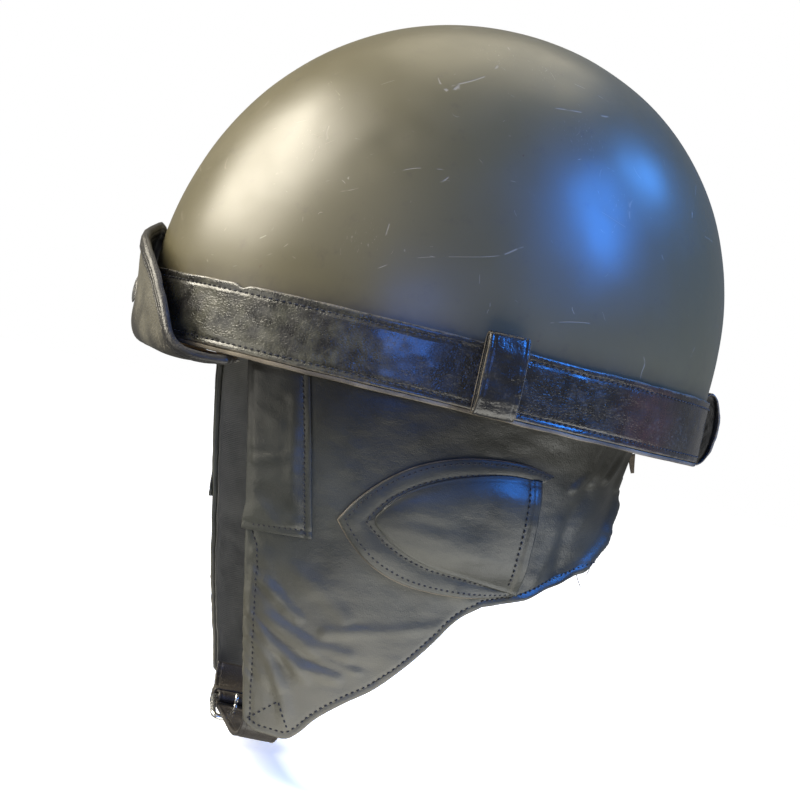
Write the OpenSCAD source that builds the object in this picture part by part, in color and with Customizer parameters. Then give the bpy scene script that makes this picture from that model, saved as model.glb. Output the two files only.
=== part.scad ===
// Open face motorcycle helmet: a hard domed shell with a leather band, a folding leather peak,
// a leather neck curtain with hinged cheek flaps, a chin strap and a head harness.
// The rim lies in the plane z = 0, the front faces -Y and the wearer's left is +X.

/* [Shell] */
// Length of the shell, front to back
shell_length = 268; // [244:1:290]
// Width of the shell
shell_width = 226; // [206:1:246]
// Height of the crown over the rim
shell_height = 176; // [160:1:195]
// Thickness of the shell
shell_wall = 3.5; // [2.5:0.5:4.5]
// Height of the upright lower part of the shell
skirt_height = 34; // [30:1:42]
// Roundness of the dome, where 2 is an ellipse
dome_power = 2.08; // [2:0.02:2.3]
// How far the crown sits behind the rim's middle
crown_back = 7.5; // [0:0.5:10]

/* [Band] */
// Height of the leather band
band_height = 29; // [26:1:30]
// Thickness of the leather band
band_wall = 1.8; // [1.2:0.2:2.2]
// Height of the edge binding that shows under the band
binding_drop = 1.8; // [1.2:0.2:2.4]
// Width of a keeper loop
keeper_width = 18; // [14:1:24]
// Height of a keeper loop
keeper_height = 36; // [34:1:40]
// Clear gap inside a keeper loop
keeper_gap = 3.8; // [3:0.2:5]
// Lean of the side keeper loops
keeper_lean = 1.5; // [0:0.5:12]

/* [Peak] */
// Height of the turned-up peak over the rim
peak_height = 47; // [38:1:52]
// Half width of the peak
peak_half = 70; // [64:1:76]
// Thickness of the peak
peak_wall = 2.4; // [1.8:0.2:2.8]
// Height of the press stud over the rim
stud_height = 17; // [14:1:20]

/* [Curtain] */
// Thickness of the outer leather
leather_wall = 2; // [1.6:0.2:2.4]
// Thickness of the lining
lining_wall = 1.2; // [0.8:0.2:1.4]
// Depth of the cheek flaps under the rim
flap_drop = 159; // [148:1:164]
// Depth of the line where the cheek flaps fold
fold_drop = 88; // [84:1:92]
// Depth of the hem where it meets the cheek flap
side_drop = 81; // [76:1:82]
// Depth of the hem at the back of the neck
neck_drop = 40; // [34:1:50]

/* [Chin strap] */
// Width of the chin strap
strap_width = 18; // [16:1:20]
// Thickness of the chin strap
strap_wall = 2; // [1.6:0.2:2.2]
// Radius of the buckle's wire
wire_radius = 1.4; // [1.2:0.1:1.5]

/* [Harness] */
// Number of tongues that rise to the crown
tongue_count = 8; // [6:1:8]
// Height of the crown lace over the rim
lace_height = 150; // [140:1:154]
// Radius of the ring of lace
lace_radius = 24; // [20:1:30]

/* [Hidden] */

leather_black = [0.06, 0.06, 0.07];
leather_grey = [0.16, 0.18, 0.17];
leather_tan = [0.62, 0.50, 0.36];
olive = [0.30, 0.29, 0.20];
steel = [0.66, 0.66, 0.66];

half_long = shell_length / 2;
half_wide = shell_width / 2;
ring_steps = 64;

// Radial build of the harness, as distances inside the shell's outer face
cork_depth = 16;
hoop_wall = 2;
hoop_depth = cork_depth + leather_wall + 0.4;
sew_height = 12;
hoop_top = 40;
sweat_depth = hoop_depth + hoop_wall;
sweat_lean = 9;
sweat_top = 46;
sweat_wall = 1.5;

// Shape of the curtain: its half width and half lengths at a depth under the sewing line
curtain_front = half_long - cork_depth - leather_wall / 2;
curtain_side = half_wide - cork_depth - leather_wall / 2;
curtain_rear = curtain_front - 23;
front_top_y = -91;
front_slope = 0.21;
notch_y = 32;
tip_rear_y = -33;

function depth_under_seam(z) = max(0, sew_height - z);
function side_half(z) = curtain_side - 0.008 * pow(depth_under_seam(z), 1.6);
function rear_half(z) = curtain_rear + 23 * exp(-depth_under_seam(z) / 14.4);
function front_edge_y(z) = front_top_y - front_slope * z;
// A point on the curtain's middle surface, moved outwards by out
function curtain_point(y, z, out) =
    let (along = (y < 0 ? curtain_front : rear_half(z)) + out)
    [(side_half(z) + out) * sqrt(max(0, 1 - pow(y / along, 2))), y, z];
function curtain_at(t, z, out) =
    [(side_half(z) + out) * cos(t),
     ((sin(t) < 0 ? curtain_front : rear_half(z)) + out) * sin(t), z];

function mix(a, b, s) = a + (b - a) * s;
function bezier(a, b, c, s) = (1 - s) * (1 - s) * a + 2 * s * (1 - s) * b + s * s * c;

// A solid between two grids of points. Rows run downwards and columns run anticlockwise.
module sheet(face, back) {
    rows = len(face);
    cols = len(face[0]);
    size = rows * cols;
    function at(i, j) = i * cols + j;
    skins = [for (i = [0:rows - 2], j = [0:cols - 2])
        let (a = at(i, j), b = at(i, j + 1), c = at(i + 1, j + 1), d = at(i + 1, j))
        each [[a, b, c], [a, c, d], [size + a, size + c, size + b], [size + a, size + d, size + c]]];
    ends = [for (j = [0:cols - 2])
        let (a = at(0, j), b = at(0, j + 1), c = at(rows - 1, j + 1), d = at(rows - 1, j))
        each [[size + a, size + b, b], [size + a, b, a], [size + d, c, size + c], [size + d, d, c]]];
    sides = [for (i = [0:rows - 2])
        let (a = at(i, 0), d = at(i + 1, 0), b = at(i, cols - 1), c = at(i + 1, cols - 1))
        each [[size + a, a, d], [size + a, d, size + d], [size + b, c, b], [size + b, size + c, c]]];
    polyhedron([for (row = face) each row, for (row = back) each row], concat(skins, ends, sides));
}

// A closed outline of [offset from the shell's outer face, height], swept round the rim
module ring(outline) {
    count = len(outline);
    total = ring_steps * count;
    points = [for (j = [0:ring_steps - 1], p = outline)
        let (t = 360 * j / ring_steps)
        [(half_wide + p[0]) * cos(t), (half_long + p[0]) * sin(t), p[1]]];
    faces = [for (j = [0:ring_steps - 1], k = [0:count - 1])
        let (a = j * count + k, b = j * count + (k + 1) % count,
             c = (b + count) % total, d = (a + count) % total)
        each [[a, b, c], [a, c, d]]];
    polyhedron(points, faces);
}

// Dome surface from the rim up: lift is the angle from the skirt's top to the crown
function dome_point(lift, t, out) =
    let (c = pow(cos(lift), 2 / dome_power), s = pow(sin(lift), 2 / dome_power))
    [(half_wide + out) * c * cos(t), (half_long + out) * c * sin(t) + crown_back * s,
     skirt_height + (shell_height - skirt_height + out) * s];
dome_steps = 12;
function dome_row(i, out) = [for (j = [0:ring_steps - 1])
    let (t = 360 * j / ring_steps) dome_point(90 * (1 - i / dome_steps), t, out)];
function wall_row(z, out) = [for (j = [0:ring_steps - 1])
    let (t = 360 * j / ring_steps) [(half_wide + out) * cos(t), (half_long + out) * sin(t), z]];
function dome_rows(last, out) = [for (i = [1:last]) dome_row(i, out)];

// A dome with its crown closed by one apex in each skin
module dome(face, back, face_apex, back_apex) {
    rows = len(face);
    cols = ring_steps;
    size = rows * cols;
    function at(i, j) = i * cols + j % cols;
    skins = [for (i = [0:rows - 2], j = [0:cols - 1])
        let (a = at(i, j), b = at(i, j + 1), c = at(i + 1, j + 1), d = at(i + 1, j))
        each [[a, b, c], [a, c, d], [size + a, size + c, size + b], [size + a, size + d, size + c]]];
    rims = [for (j = [0:cols - 1]) let (c = at(rows - 1, j + 1), d = at(rows - 1, j))
        each [[size + d, c, size + c], [size + d, d, c]]];
    crowns = [for (j = [0:cols - 1])
        each [[2 * size, at(0, j + 1), at(0, j)], [2 * size + 1, size + at(0, j), size + at(0, j + 1)]]];
    polyhedron([for (row = face) each row, for (row = back) each row, face_apex, back_apex],
        concat(skins, rims, crowns));
}

module shell() {
    color(olive) dome(
        concat(dome_rows(dome_steps, 0), [wall_row(skirt_height / 2, 0), wall_row(0, 0)]),
        concat(dome_rows(dome_steps, -shell_wall),
            [wall_row(skirt_height / 2, -shell_wall), wall_row(0, -shell_wall)]),
        dome_point(90, 0, 0), dome_point(90, 0, -shell_wall));
}

module crown_pad() {
    pad_rows = 3;
    color("tan") dome(dome_rows(pad_rows, -shell_wall), dome_rows(pad_rows, -shell_wall - 5),
        dome_point(90, 0, -shell_wall), dome_point(90, 0, -shell_wall - 5));
}

module rim_binding() {
    inner = -shell_wall - 1;
    color(leather_tan) ring([[band_wall, -binding_drop], [band_wall, 0], [-shell_wall, 0],
        [-shell_wall, 10], [inner, 10], [inner, -binding_drop]]);
}

module shell_band() {
    edge = 0.5;
    color(leather_black) ring([[band_wall - edge, 0], [band_wall, edge],
        [band_wall, band_height - edge], [band_wall - edge, band_height],
        [0, band_height], [0, 0]]);
}

module cork_band() {
    inner = 0.3 - cork_depth;
    color("tan") ring([[inner, 3], [-shell_wall - 1, 3], [-shell_wall - 1, 10],
        [-shell_wall, 10], [-shell_wall, 33], [inner, 33]]);
}

module liner_hoop() {
    color(leather_tan) ring([[-hoop_depth, sew_height], [-hoop_depth, hoop_top],
        [-sweat_depth, hoop_top], [-sweat_depth, sew_height]]);
}

module sweatband() {
    top = -sweat_depth - sweat_lean;
    color(leather_tan) ring([[-sweat_depth, sew_height], [top, sweat_top],
        [top - sweat_wall, sweat_top], [-sweat_depth - sweat_wall, sew_height]]);
}

// Depth of the sweatband's outer face at a height
function sweat_out(z) = -sweat_depth - sweat_lean * (z - sew_height) / (sweat_top - sew_height);

module felt_pads() {
    pads = 8;
    pad_steps = 4;
    heights = [38, 30, 22];
    function place(t, out, z) = [(half_wide + out) * cos(t), (half_long + out) * sin(t), z];
    color("gray") for (k = [0:pads - 1]) {
        angles = [for (j = [0:pad_steps]) 360 * (k * 8 + 2 + j) / ring_steps];
        sheet([for (z = heights) [for (t = angles) place(t, -sweat_depth, z)]],
            [for (z = heights) [for (t = angles) place(t, sweat_out(z) + 0.4, z)]]);
    }
}

// The tongues run from the hoop's top edge to a round ring at the crown
function tongue_point(lift, t, out) =
    let (c = pow(cos(lift), 2 / dome_power), s = pow(sin(lift), 2 / dome_power),
         across = half_wide - hoop_depth + out, along = half_long - hoop_depth + out)
    [mix(lace_radius, across, c) * cos(t), mix(lace_radius, along, c) * sin(t) + 5 * s,
     mix(hoop_top, lace_height + out, s)];

module liner_tongues() {
    pitch = 360 / tongue_count;
    half = 0.35 * pitch;
    lifts = [90, 82, 72, 60, 48, 36, 24, 12, 0];
    color(leather_tan) for (k = [0:tongue_count - 1]) {
        angles = [for (j = [-3:3]) pitch * k + half * j / 3];
        sheet([for (l = lifts) [for (t = angles) tongue_point(l, t, 0)]],
            [for (l = lifts) [for (t = angles) tongue_point(l, t, -hoop_wall)]]);
    }
}

module crown_lace() {
    cord = 1.8;
    color("tan") translate([0, 5, lace_height - hoop_wall / 2]) rotate_extrude($fn = 64)
        translate([lace_radius - cord, 0]) circle(cord, $fn = 24);
}

// A strap folded into a flat loop, standing on the band at angle t round the rim
module keeper(t, lean) {
    wall = 1.6;
    depth = keeper_gap + 2 * wall;
    across = half_wide + band_wall;
    along = half_long + band_wall;
    turn = atan2(sin(t) / along, cos(t) / across);
    straight = keeper_height - depth;
    color(leather_black) translate([across * cos(t), along * sin(t), keeper_height / 2 - 1.5])
        rotate([0, 0, turn]) translate([depth / 2 + 0.05, 0, 0]) rotate([lean, 0, 0]) rotate([90, 0, 0])
        linear_extrude(keeper_width, center = true) difference() {
            stadium(depth, straight);
            stadium(keeper_gap, straight);
        }
}

module stadium(wide, straight) {
    square([wide, straight], center = true);
    for (s = [-1, 1]) translate([0, s * straight / 2]) circle(wide / 2, $fn = 32);
}

keeper_angle = 2.5;
module left_keeper() { keeper(keeper_angle, keeper_lean); }
module right_keeper() { mirror([1, 0, 0]) left_keeper(); }
module rear_keeper() { keeper(90, 0); }

// The peak: it leaves the rim at the hinge line, curls under the band and stands up in front
hinge_y = -(half_long - 13);
hinge_z = -binding_drop - 3.6;
hinge_half = 66;
function peak_top(x) = peak_height * (1 - pow(abs(x) / peak_half, 2.4)) - 1;
function peak_bow(x) = 0.0022 * x * x;
function peak_point(x, s, out) =
    let (a = [hinge_y, hinge_z + peak_wall / 2],
         b = [-half_long - 15.5 + peak_bow(x), hinge_z - 10.1],
         c = [-half_long - 6.5 + peak_bow(x), peak_top(x)],
         p = bezier(a, b, c, s), d = 2 * (1 - s) * (b - a) + 2 * s * (c - b))
    [x, p[0] - out * d[1] / norm(d), p[1] + out * d[0] / norm(d)];
peak_edge = 0.93;
peak_columns = [for (j = [-12:12]) hinge_half * j / 12];

// A sheet along the peak between two stations, with its outer face in front
module peak_sheet(from, to, wall, rows) {
    stations = [for (i = [0:rows]) mix(to, from, i / rows)];
    sheet([for (s = stations) [for (x = peak_columns) peak_point(x, s, wall / 2)]],
        [for (s = stations) [for (x = peak_columns) peak_point(x, s, -wall / 2)]]);
}

stud_y = -half_long - 8.4;
module stud_axis(y) { translate([0, y, stud_height]) rotate([90, 0, 0]) children(); }

module peak() {
    color(leather_black) difference() {
        peak_sheet(0, peak_edge, peak_wall, 11);
        stud_axis(stud_y + 6) cylinder(h = 12, r = 2.2, $fn = 32);
    }
}

module peak_binding() { color(leather_black) peak_sheet(peak_edge, 1, peak_wall + 1.6, 2); }

module stud_cap() {
    color(steel) difference() {
        union() {
            stud_axis(stud_y - peak_wall / 2 - 0.4) cylinder(h = 1.6, r = 6.5, $fn = 48);
            stud_axis(stud_y + 2.6) cylinder(h = 5.6, r = 2.1, $fn = 32);
            stud_axis(stud_y + 4.1) cylinder(h = 2.2, r = 5, $fn = 48);
        }
        stud_axis(stud_y + 4.5) cylinder(h = 2.2, r = 2.9, $fn = 32);
    }
}

module stud_post() {
    foot_y = -half_long - band_wall;
    color(steel) {
        stud_axis(foot_y) cylinder(h = 0.9, r = 5, $fn = 48);
        stud_axis(foot_y) cylinder(h = stud_length, r = 2.4, $fn = 32);
    }
}
stud_length = 3.9;

// The fixed strip of the peak under the rim, whose front edge is the fold
module peak_root() {
    front = hinge_y + 0.6;
    side = peak_half + 7;
    last = 4;
    edge = [[hinge_half, front], [side - 3, front + 8], [side, front + 17],
        [side - 12, front + 19], [side / 2, front + 8]];
    color(leather_black) translate([0, 0, hinge_z]) linear_extrude(-binding_drop - hinge_z)
        polygon(concat(edge, [[0, front + 4]], [for (i = [last:-1:0]) [-edge[i][0], edge[i][1]]]));
}

// The curtain's columns run from the front edge to the middle of the back
columns = 28;
top_angle = -asin(-front_edge_y(sew_height) / curtain_front);
fold_angle = -asin(-front_edge_y(-fold_drop) / curtain_front);
notch_angle = asin(notch_y / rear_half(-side_drop));
function hem(t) = t < notch_angle - 4 ? -fold_drop
    : t < notch_angle ? mix(-fold_drop, -side_drop, (t - notch_angle + 4) / 4)
    : mix(-side_drop, -neck_drop, pow(sin(90 * (t - notch_angle) / (90 - notch_angle)), 1.3));
curtain_top = sew_height + 4;
lining_share = 0.04;
curtain_shares = concat([0, 0], [for (i = [0:7]) mix(lining_share, 1, i / 7)]);
function curtain_grid(out, first) = [for (i = [first:9]) [for (j = [0:columns])
    let (t = mix(fold_angle, 90, j / columns), s = curtain_shares[i],
         z = i == 0 ? curtain_top : mix(sew_height, hem(t), s))
    curtain_at(mix(mix(top_angle, 90, j / columns), t, s), z, out)]];

// The curtain, or its lining, which starts two rows lower so that it stops under the hoop
module curtain_sheet(from, to, first) { sheet(curtain_grid(to, first), curtain_grid(from, first)); }

module left_curtain() {
    color(leather_grey) curtain_sheet(-leather_wall / 2, leather_wall / 2, 0);
}
module right_curtain() { mirror([1, 0, 0]) left_curtain(); }
module left_lining() {
    color("dimgray") curtain_sheet(-leather_wall / 2 - lining_wall, -leather_wall / 2, 2);
}
module right_lining() { mirror([1, 0, 0]) left_lining(); }

module neck_seam() {
    angles = [for (j = [-3:3]) 90 + 1.3 * j];
    heights = [for (i = [0:6]) mix(-1, -neck_drop, i / 6)];
    color(leather_grey) sheet([for (z = heights) [for (t = angles) curtain_at(t, z, patch_face + 1.2)]],
        [for (z = heights) [for (t = angles) curtain_at(t, z, patch_face)]]);
}

patch_face = leather_wall / 2 + 0.25;
// A patch on the curtain's outer face: rows of [height, front y, back y]
module patch(rows, from, to, cols) {
    function grid(out) = [for (r = rows) [for (j = [0:cols])
        curtain_point(mix(r[1], r[2], j / cols), r[0], patch_face + out)]];
    sheet(grid(to), grid(from));
}

module left_front_panel() {
    panel_bottom = -72;
    color(leather_grey) patch([for (i = [0:8]) let (z = mix(-1, panel_bottom, i / 8))
        [z, front_edge_y(z), -66 - 0.25 * z]], 0, 1.6, 5);
}
module right_front_panel() { mirror([1, 0, 0]) left_front_panel(); }

// The ear patch is a pointed oval: an upper and a lower arc that meet at a point in front
ear_point = [-40, -59];
ear_top = [[-24, -22], [46, -18]];
ear_bottom = [[-14, -90], [43, -74]];
function ear_arc(arc, s) = bezier(ear_point, arc[0], arc[1], s);
function ear_middle(s) = mix(ear_point, [44.5, -46], s);
ear_border_share = 0.26;

module ear_strip(arc) {
    steps = 14;
    stations = [for (i = [0:steps]) i / steps];
    function side(share, out) = [for (s = stations)
        let (p = mix(ear_arc(arc, s), ear_middle(s), share)) curtain_point(p[0], p[1], patch_face + out)];
    upper = arc == ear_top;
    first = upper ? 0 : ear_border_share;
    last = upper ? ear_border_share : 0;
    sheet([side(first, 1.4), side(last, 1.4)], [side(first, 0), side(last, 0)]);
}

module left_ear_border() {
    color(leather_grey) {
        ear_strip(ear_top);
        ear_strip(ear_bottom);
    }
}
module right_ear_border() { mirror([1, 0, 0]) left_ear_border(); }

// The cover stands off the curtain like a scoop that is open behind
ear_rise = 8;
module left_ear_cover() {
    steps = 12;
    first = 0.12;
    function lift(s, r) = ear_rise * pow(s, 0.7) * (1 - pow(2 * r - 1, 4));
    function skin(out) = [for (i = [0:6]) [for (j = [0:steps])
        let (s = mix(first, 1, j / steps), r = i / 6,
             a = mix(ear_arc(ear_top, s), ear_middle(s), ear_border_share + 0.02),
             b = mix(ear_arc(ear_bottom, s), ear_middle(s), ear_border_share + 0.02),
             p = mix(a, b, r))
        curtain_point(p[0], p[1], patch_face + out + lift(s, r))]];
    color(leather_grey) sheet(skin(1.4), skin(0));
}
module right_ear_cover() { mirror([1, 0, 0]) left_ear_cover(); }

// Cheek flaps, under the fold line
fold_gap = 0.8;
function flap_rear_y(z) = mix(notch_y, tip_rear_y, (-z - side_drop) / (flap_drop - side_drop));
function flap_grid(out) = [for (i = [0:8]) let (z = mix(-fold_drop - fold_gap, -flap_drop, i / 8))
    [for (j = [0:10]) curtain_point(mix(front_edge_y(z), flap_rear_y(z), j / 10), z, out)]];

module left_cheek_flap() {
    color(leather_grey) sheet(flap_grid(leather_wall / 2), flap_grid(-leather_wall / 2));
}
module right_cheek_flap() { mirror([1, 0, 0]) left_cheek_flap(); }
module left_flap_lining() {
    color("dimgray") sheet(flap_grid(-leather_wall / 2), flap_grid(-leather_wall / 2 - lining_wall));
}
module right_flap_lining() { mirror([1, 0, 0]) left_flap_lining(); }

// Chin strap: outlines in the X-Z plane, extruded across the strap
strap_y = -46;
strap_z = -(flap_drop + 9);
anchor_z = 1 - flap_drop;
// The lining at the strap's front edge, where the space between the flaps is narrowest
function inner_x(z) =
    curtain_point(strap_y - strap_width / 2, z, -leather_wall / 2 - lining_wall)[0];
module across_strap(wide) {
    translate([0, strap_y, 0]) rotate([90, 0, 0]) linear_extrude(wide, center = true) children();
}
// A ribbon of even thickness along a list of points
module ribbon(path, wall) {
    last = len(path) - 1;
    function along(i) = path[min(i + 1, last)] - path[max(i - 1, 0)];
    function side(i, d) = path[i] + d * [-along(i)[1], along(i)[0]] / norm(along(i));
    polygon([for (i = [0:last]) side(i, wall / 2), for (i = [last:-1:0]) side(i, -wall / 2)]);
}

module strap_anchor() {
    top = -134;
    gap = strap_wall / 2 + 0.4;
    color(leather_black) across_strap(strap_width)
        ribbon([for (i = [0:3]) let (z = mix(top, anchor_z, i / 3)) [inner_x(z) - gap, z]], strap_wall);
}

bar_x = -28;
bar_z = strap_z + 4.2;
far_x = -12;
far_z = strap_z - strap_wall / 2 - wire_radius - 0.1;
tail_x = -43;

module chin_strap() {
    start = [inner_x(anchor_z) - strap_wall / 2 - 0.6, anchor_z - 1.6];
    bend = [for (i = [0:10]) bezier(start, [start[0] - 6, strap_z], [22, strap_z], i / 10)];
    color(leather_black) difference() {
        across_strap(strap_width) ribbon(concat(bend, [[tail_x, strap_z]]), strap_wall);
        translate([bar_x + 1, strap_y, strap_z]) cube([10, 4, 8], center = true);
    }
}

module buckle_chape() {
    wall = 3;
    end_z = 7 - flap_drop;
    end = [-(inner_x(end_z) - 4), end_z];
    bend = [for (i = [0:10]) bezier([tail_x, bar_z + 0.2], [end[0] + 1, bar_z + 1], end, i / 10)];
    color(leather_black) difference() {
        union() {
            across_strap(strap_width) ribbon(concat([[bar_x, bar_z + 0.2]], bend), wall);
            across_strap(strap_width) translate([bar_x, bar_z]) circle(wire_radius + 1.2, $fn = 32);
        }
        across_strap(strap_width + 2) translate([bar_x, bar_z]) circle(wire_radius, $fn = 32);
        translate([bar_x, strap_y, bar_z]) cube([12, 4, 8], center = true);
    }
}

module buckle_frame() {
    half = strap_width / 2 + 2.5;
    tilt = atan2(bar_z - far_z, far_x - bar_x);
    reach = norm([far_x - bar_x, far_z - bar_z]);
    color(steel) translate([bar_x, strap_y, bar_z]) rotate([0, tilt, 0]) {
        rotate([90, 0, 0]) cylinder(h = 2 * half, r = wire_radius, center = true, $fn = 32);
        linear_extrude(2.2, center = true) difference() {
            translate([0, -half - wire_radius]) square([reach + wire_radius, 2 * (half + wire_radius)]);
            translate([-1, wire_radius - half]) square([reach + 1 - wire_radius, 2 * (half - wire_radius)]);
        }
    }
}

module strap_keeper() {
    wall = 1.4;
    low = strap_z - strap_wall / 2 - 0.3;
    high = bar_z + 0.2 + 1.5 + 0.3;
    width = strap_width + 0.6;
    color(leather_black) translate([tail_x + 6, strap_y, (low + high) / 2]) difference() {
        cube([6, width + 2 * wall, high - low + 2 * wall], center = true);
        cube([8, width, high - low], center = true);
    }
}

module buckle_prong() {
    arm = 1;
    reach = norm([far_x - bar_x, far_z - bar_z]);
    under = far_z - wire_radius - arm - 0.2;
    color(steel) difference() {
        translate([0, strap_y, 0]) rotate([90, 0, 0]) linear_extrude(2.2, center = true) union() {
            translate([bar_x, bar_z]) circle(wire_radius + 1.3, $fn = 32);
            ribbon([[bar_x + 1, bar_z - 2], [bar_x + 3, strap_z - 2.2], [bar_x + 6, under],
                [bar_x + reach + 1, under]], 2 * arm);
        }
        across_strap(4) translate([bar_x, bar_z]) circle(wire_radius + 0.1, $fn = 32);
    }
}

shell();
rim_binding();
shell_band();
left_keeper();
right_keeper();
rear_keeper();
peak_root();
stud_post();
cork_band();
liner_hoop();
sweatband();
felt_pads();
liner_tongues();
crown_lace();
crown_pad();
left_curtain();
right_curtain();
neck_seam();
left_front_panel();
right_front_panel();
left_ear_border();
right_ear_border();
left_ear_cover();
right_ear_cover();
left_lining();
right_lining();
peak();
peak_binding();
stud_cap();
left_cheek_flap();
left_flap_lining();
strap_anchor();
right_cheek_flap();
right_flap_lining();
chin_strap();
buckle_chape();
buckle_frame();
strap_keeper();
buckle_prong();
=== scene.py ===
import math
from itertools import product

import bmesh
import bpy
import numpy as np
from mathutils import Matrix, Vector


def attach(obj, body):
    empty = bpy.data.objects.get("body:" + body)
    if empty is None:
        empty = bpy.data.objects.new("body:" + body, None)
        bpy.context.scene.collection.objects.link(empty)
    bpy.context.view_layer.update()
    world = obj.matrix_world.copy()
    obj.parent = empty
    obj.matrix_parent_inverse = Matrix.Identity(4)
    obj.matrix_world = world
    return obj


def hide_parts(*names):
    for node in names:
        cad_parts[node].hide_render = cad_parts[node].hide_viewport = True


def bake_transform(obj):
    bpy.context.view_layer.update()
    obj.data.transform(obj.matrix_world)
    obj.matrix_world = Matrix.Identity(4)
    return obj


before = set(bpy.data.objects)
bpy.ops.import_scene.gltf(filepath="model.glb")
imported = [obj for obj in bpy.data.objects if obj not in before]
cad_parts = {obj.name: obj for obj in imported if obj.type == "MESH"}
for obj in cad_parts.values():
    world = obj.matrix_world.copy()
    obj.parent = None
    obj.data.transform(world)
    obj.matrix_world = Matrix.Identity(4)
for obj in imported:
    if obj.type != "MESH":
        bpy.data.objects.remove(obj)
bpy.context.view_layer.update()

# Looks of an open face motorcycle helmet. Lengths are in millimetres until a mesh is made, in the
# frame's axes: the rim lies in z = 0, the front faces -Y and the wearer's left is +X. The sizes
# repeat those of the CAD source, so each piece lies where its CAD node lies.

MM = 0.001

# ---------------------------------------------------------------- sizes of the CAD source

HALF_LONG = 134
HALF_WIDE = 113
SHELL_WALL = 3.5
SKIRT_HEIGHT = 34
SHELL_HEIGHT = 176
DOME_POWER = 2.08
CROWN_BACK = 7.5
BAND_WALL = 1.8
BAND_HEIGHT = 29
BAND_SEAMS = (2.9, 25.6)
TEAR_TURN = math.radians(311)
BINDING_DROP = 1.8
KEEPER_DEPTH = 7.0
KEEPER_HEIGHT = 36
KEEPER_MIDDLE = 16.5
HOOP_DEPTH = 18.4
SWEAT_DEPTH = 20.4
SEW_HEIGHT = 12
HOOP_TOP = 40
LACE_HEIGHT = 150
LACE_RADIUS = 24
LACE_BACK = 5
TONGUE_HALF = math.radians(45 * 0.35)
CURTAIN_TOP = 15.5
CURTAIN_FRONT = 117
CURTAIN_SIDE = 96
FLAP_TIP_Z = -159
SIDE_HEM_Z = -81
NECK_HEM_Z = -45
NOTCH_Y = 32
STRAP_Y = -46
STRAP_WIDTH = 18
STRAP_WALL = 2.0
CHAPE_WALL = 1.2
WIRE_RADIUS = 1.35
FRAME_HALF = 11.5
PRONG_RADIUS = 1.0
PRONG_EYE = 2.4
STRAP_Z = -168
BAR = np.array([-28, -163.8])
FAR = np.array([-12, -170.5])
TAIL_X = -43
ANCHOR_GAP = 1.4
HOLES = ((0, -36.5), (2, -14), (3, -5), (4, 4), (5, 13))
STUD_Z = 17
PEAK_WALL = 2.4
PEAK_SEAMS = (1.5, 4.1)
PANEL_BOTTOM = -73
SCOOP_SEAM = 0.935
HEM_SEAM = 2.2
LINING_TOP = 11
LINING_DEPTH = 1.75
EAR_BORDER_LIFT = 1.9
EAR_COVER_LIFT = 3.0
FLOOR_Z = -0.182


def mix(a, b, s):
    return a + (b - a) * s


def smooth(low, high, value):
    """0 below low, 1 above high, and an even curve between them."""
    s = np.clip((np.asarray(value, float) - low) / (high - low), 0, 1)
    return s * s * (3 - 2 * s)


def noise(points, size, seed):
    """Smooth noise from -1 to 1 at each point, with bumps of about the given size."""
    period = 32
    table = np.random.default_rng(seed).uniform(-1, 1, (period,) * 3)
    place = np.asarray(points, float) / size
    cell = np.floor(place).astype(int)
    share = place - cell
    share = share * share * (3 - 2 * share)
    total = np.zeros(place.shape[:-1])
    for corner in product((0, 1), repeat=3):
        weight = np.prod(np.where(corner, share, 1 - share), axis=-1)
        index = (cell + corner) % period
        total += weight * table[index[..., 0], index[..., 1], index[..., 2]]
    return total


def joined(*parts):
    """Coordinates joined into points. The parts may be numbers or arrays of shapes that fit together."""
    return np.stack(np.broadcast_arrays(*parts), axis=-1)


def unit(vectors):
    return vectors / np.maximum(np.linalg.norm(vectors, axis=-1, keepdims=True), 1e-9)


def full_turn(count):
    """Angles an even step apart, all the way round."""
    return np.linspace(0, 2 * math.pi, count, endpoint=False)


def rim_point(turn, out, height):
    """A point at a distance outside the shell's skirt, at an angle and height."""
    return joined((HALF_WIDE + out) * np.cos(turn), (HALF_LONG + out) * np.sin(turn), height)


def rim_outward(turn):
    return unit(joined(np.cos(turn) / HALF_WIDE, np.sin(turn) / HALF_LONG, 0))


def bezier(a, b, c, s):
    a, b, c = (np.asarray(p, float) for p in (a, b, c))
    s = np.asarray(s, float)[..., None]
    return (1 - s) ** 2 * a + 2 * s * (1 - s) * b + s * s * c


def distance_run(line):
    """How far each point lies from the first, along the line."""
    return np.r_[0, np.cumsum(np.linalg.norm(np.diff(line, axis=0), axis=1))]


def along(line, distances):
    """Points at the given distances along a line of points."""
    line = np.asarray(line, float)
    run = distance_run(line)
    return joined(*(np.interp(distances, run, line[:, k]) for k in range(line.shape[1])))


def length(line):
    return float(np.linalg.norm(np.diff(np.asarray(line, float), axis=0), axis=1).sum())


def curve(knots, count):
    """A smooth line of points through the knots."""
    knots = np.asarray(knots, float)
    place = distance_run(knots)
    slope = np.gradient(knots, place, axis=0)
    where = np.linspace(0, place[-1], count)
    k = np.clip(np.searchsorted(place, where, "right") - 1, 0, len(knots) - 2)
    span = (place[k + 1] - place[k])[:, None]
    t = (where[:, None] - place[k][:, None]) / span
    return ((2 * t ** 3 - 3 * t ** 2 + 1) * knots[k] + (t ** 3 - 2 * t ** 2 + t) * span * slope[k]
            + (3 * t ** 2 - 2 * t ** 3) * knots[k + 1] + (t ** 3 - t ** 2) * span * slope[k + 1])


def resampled(line, step):
    """The same line with points an even step apart."""
    count = max(2, int(round(length(line) / step)) + 1)
    return along(line, np.linspace(0, length(line), count))


# ---------------------------------------------------------------- mesh building

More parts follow.
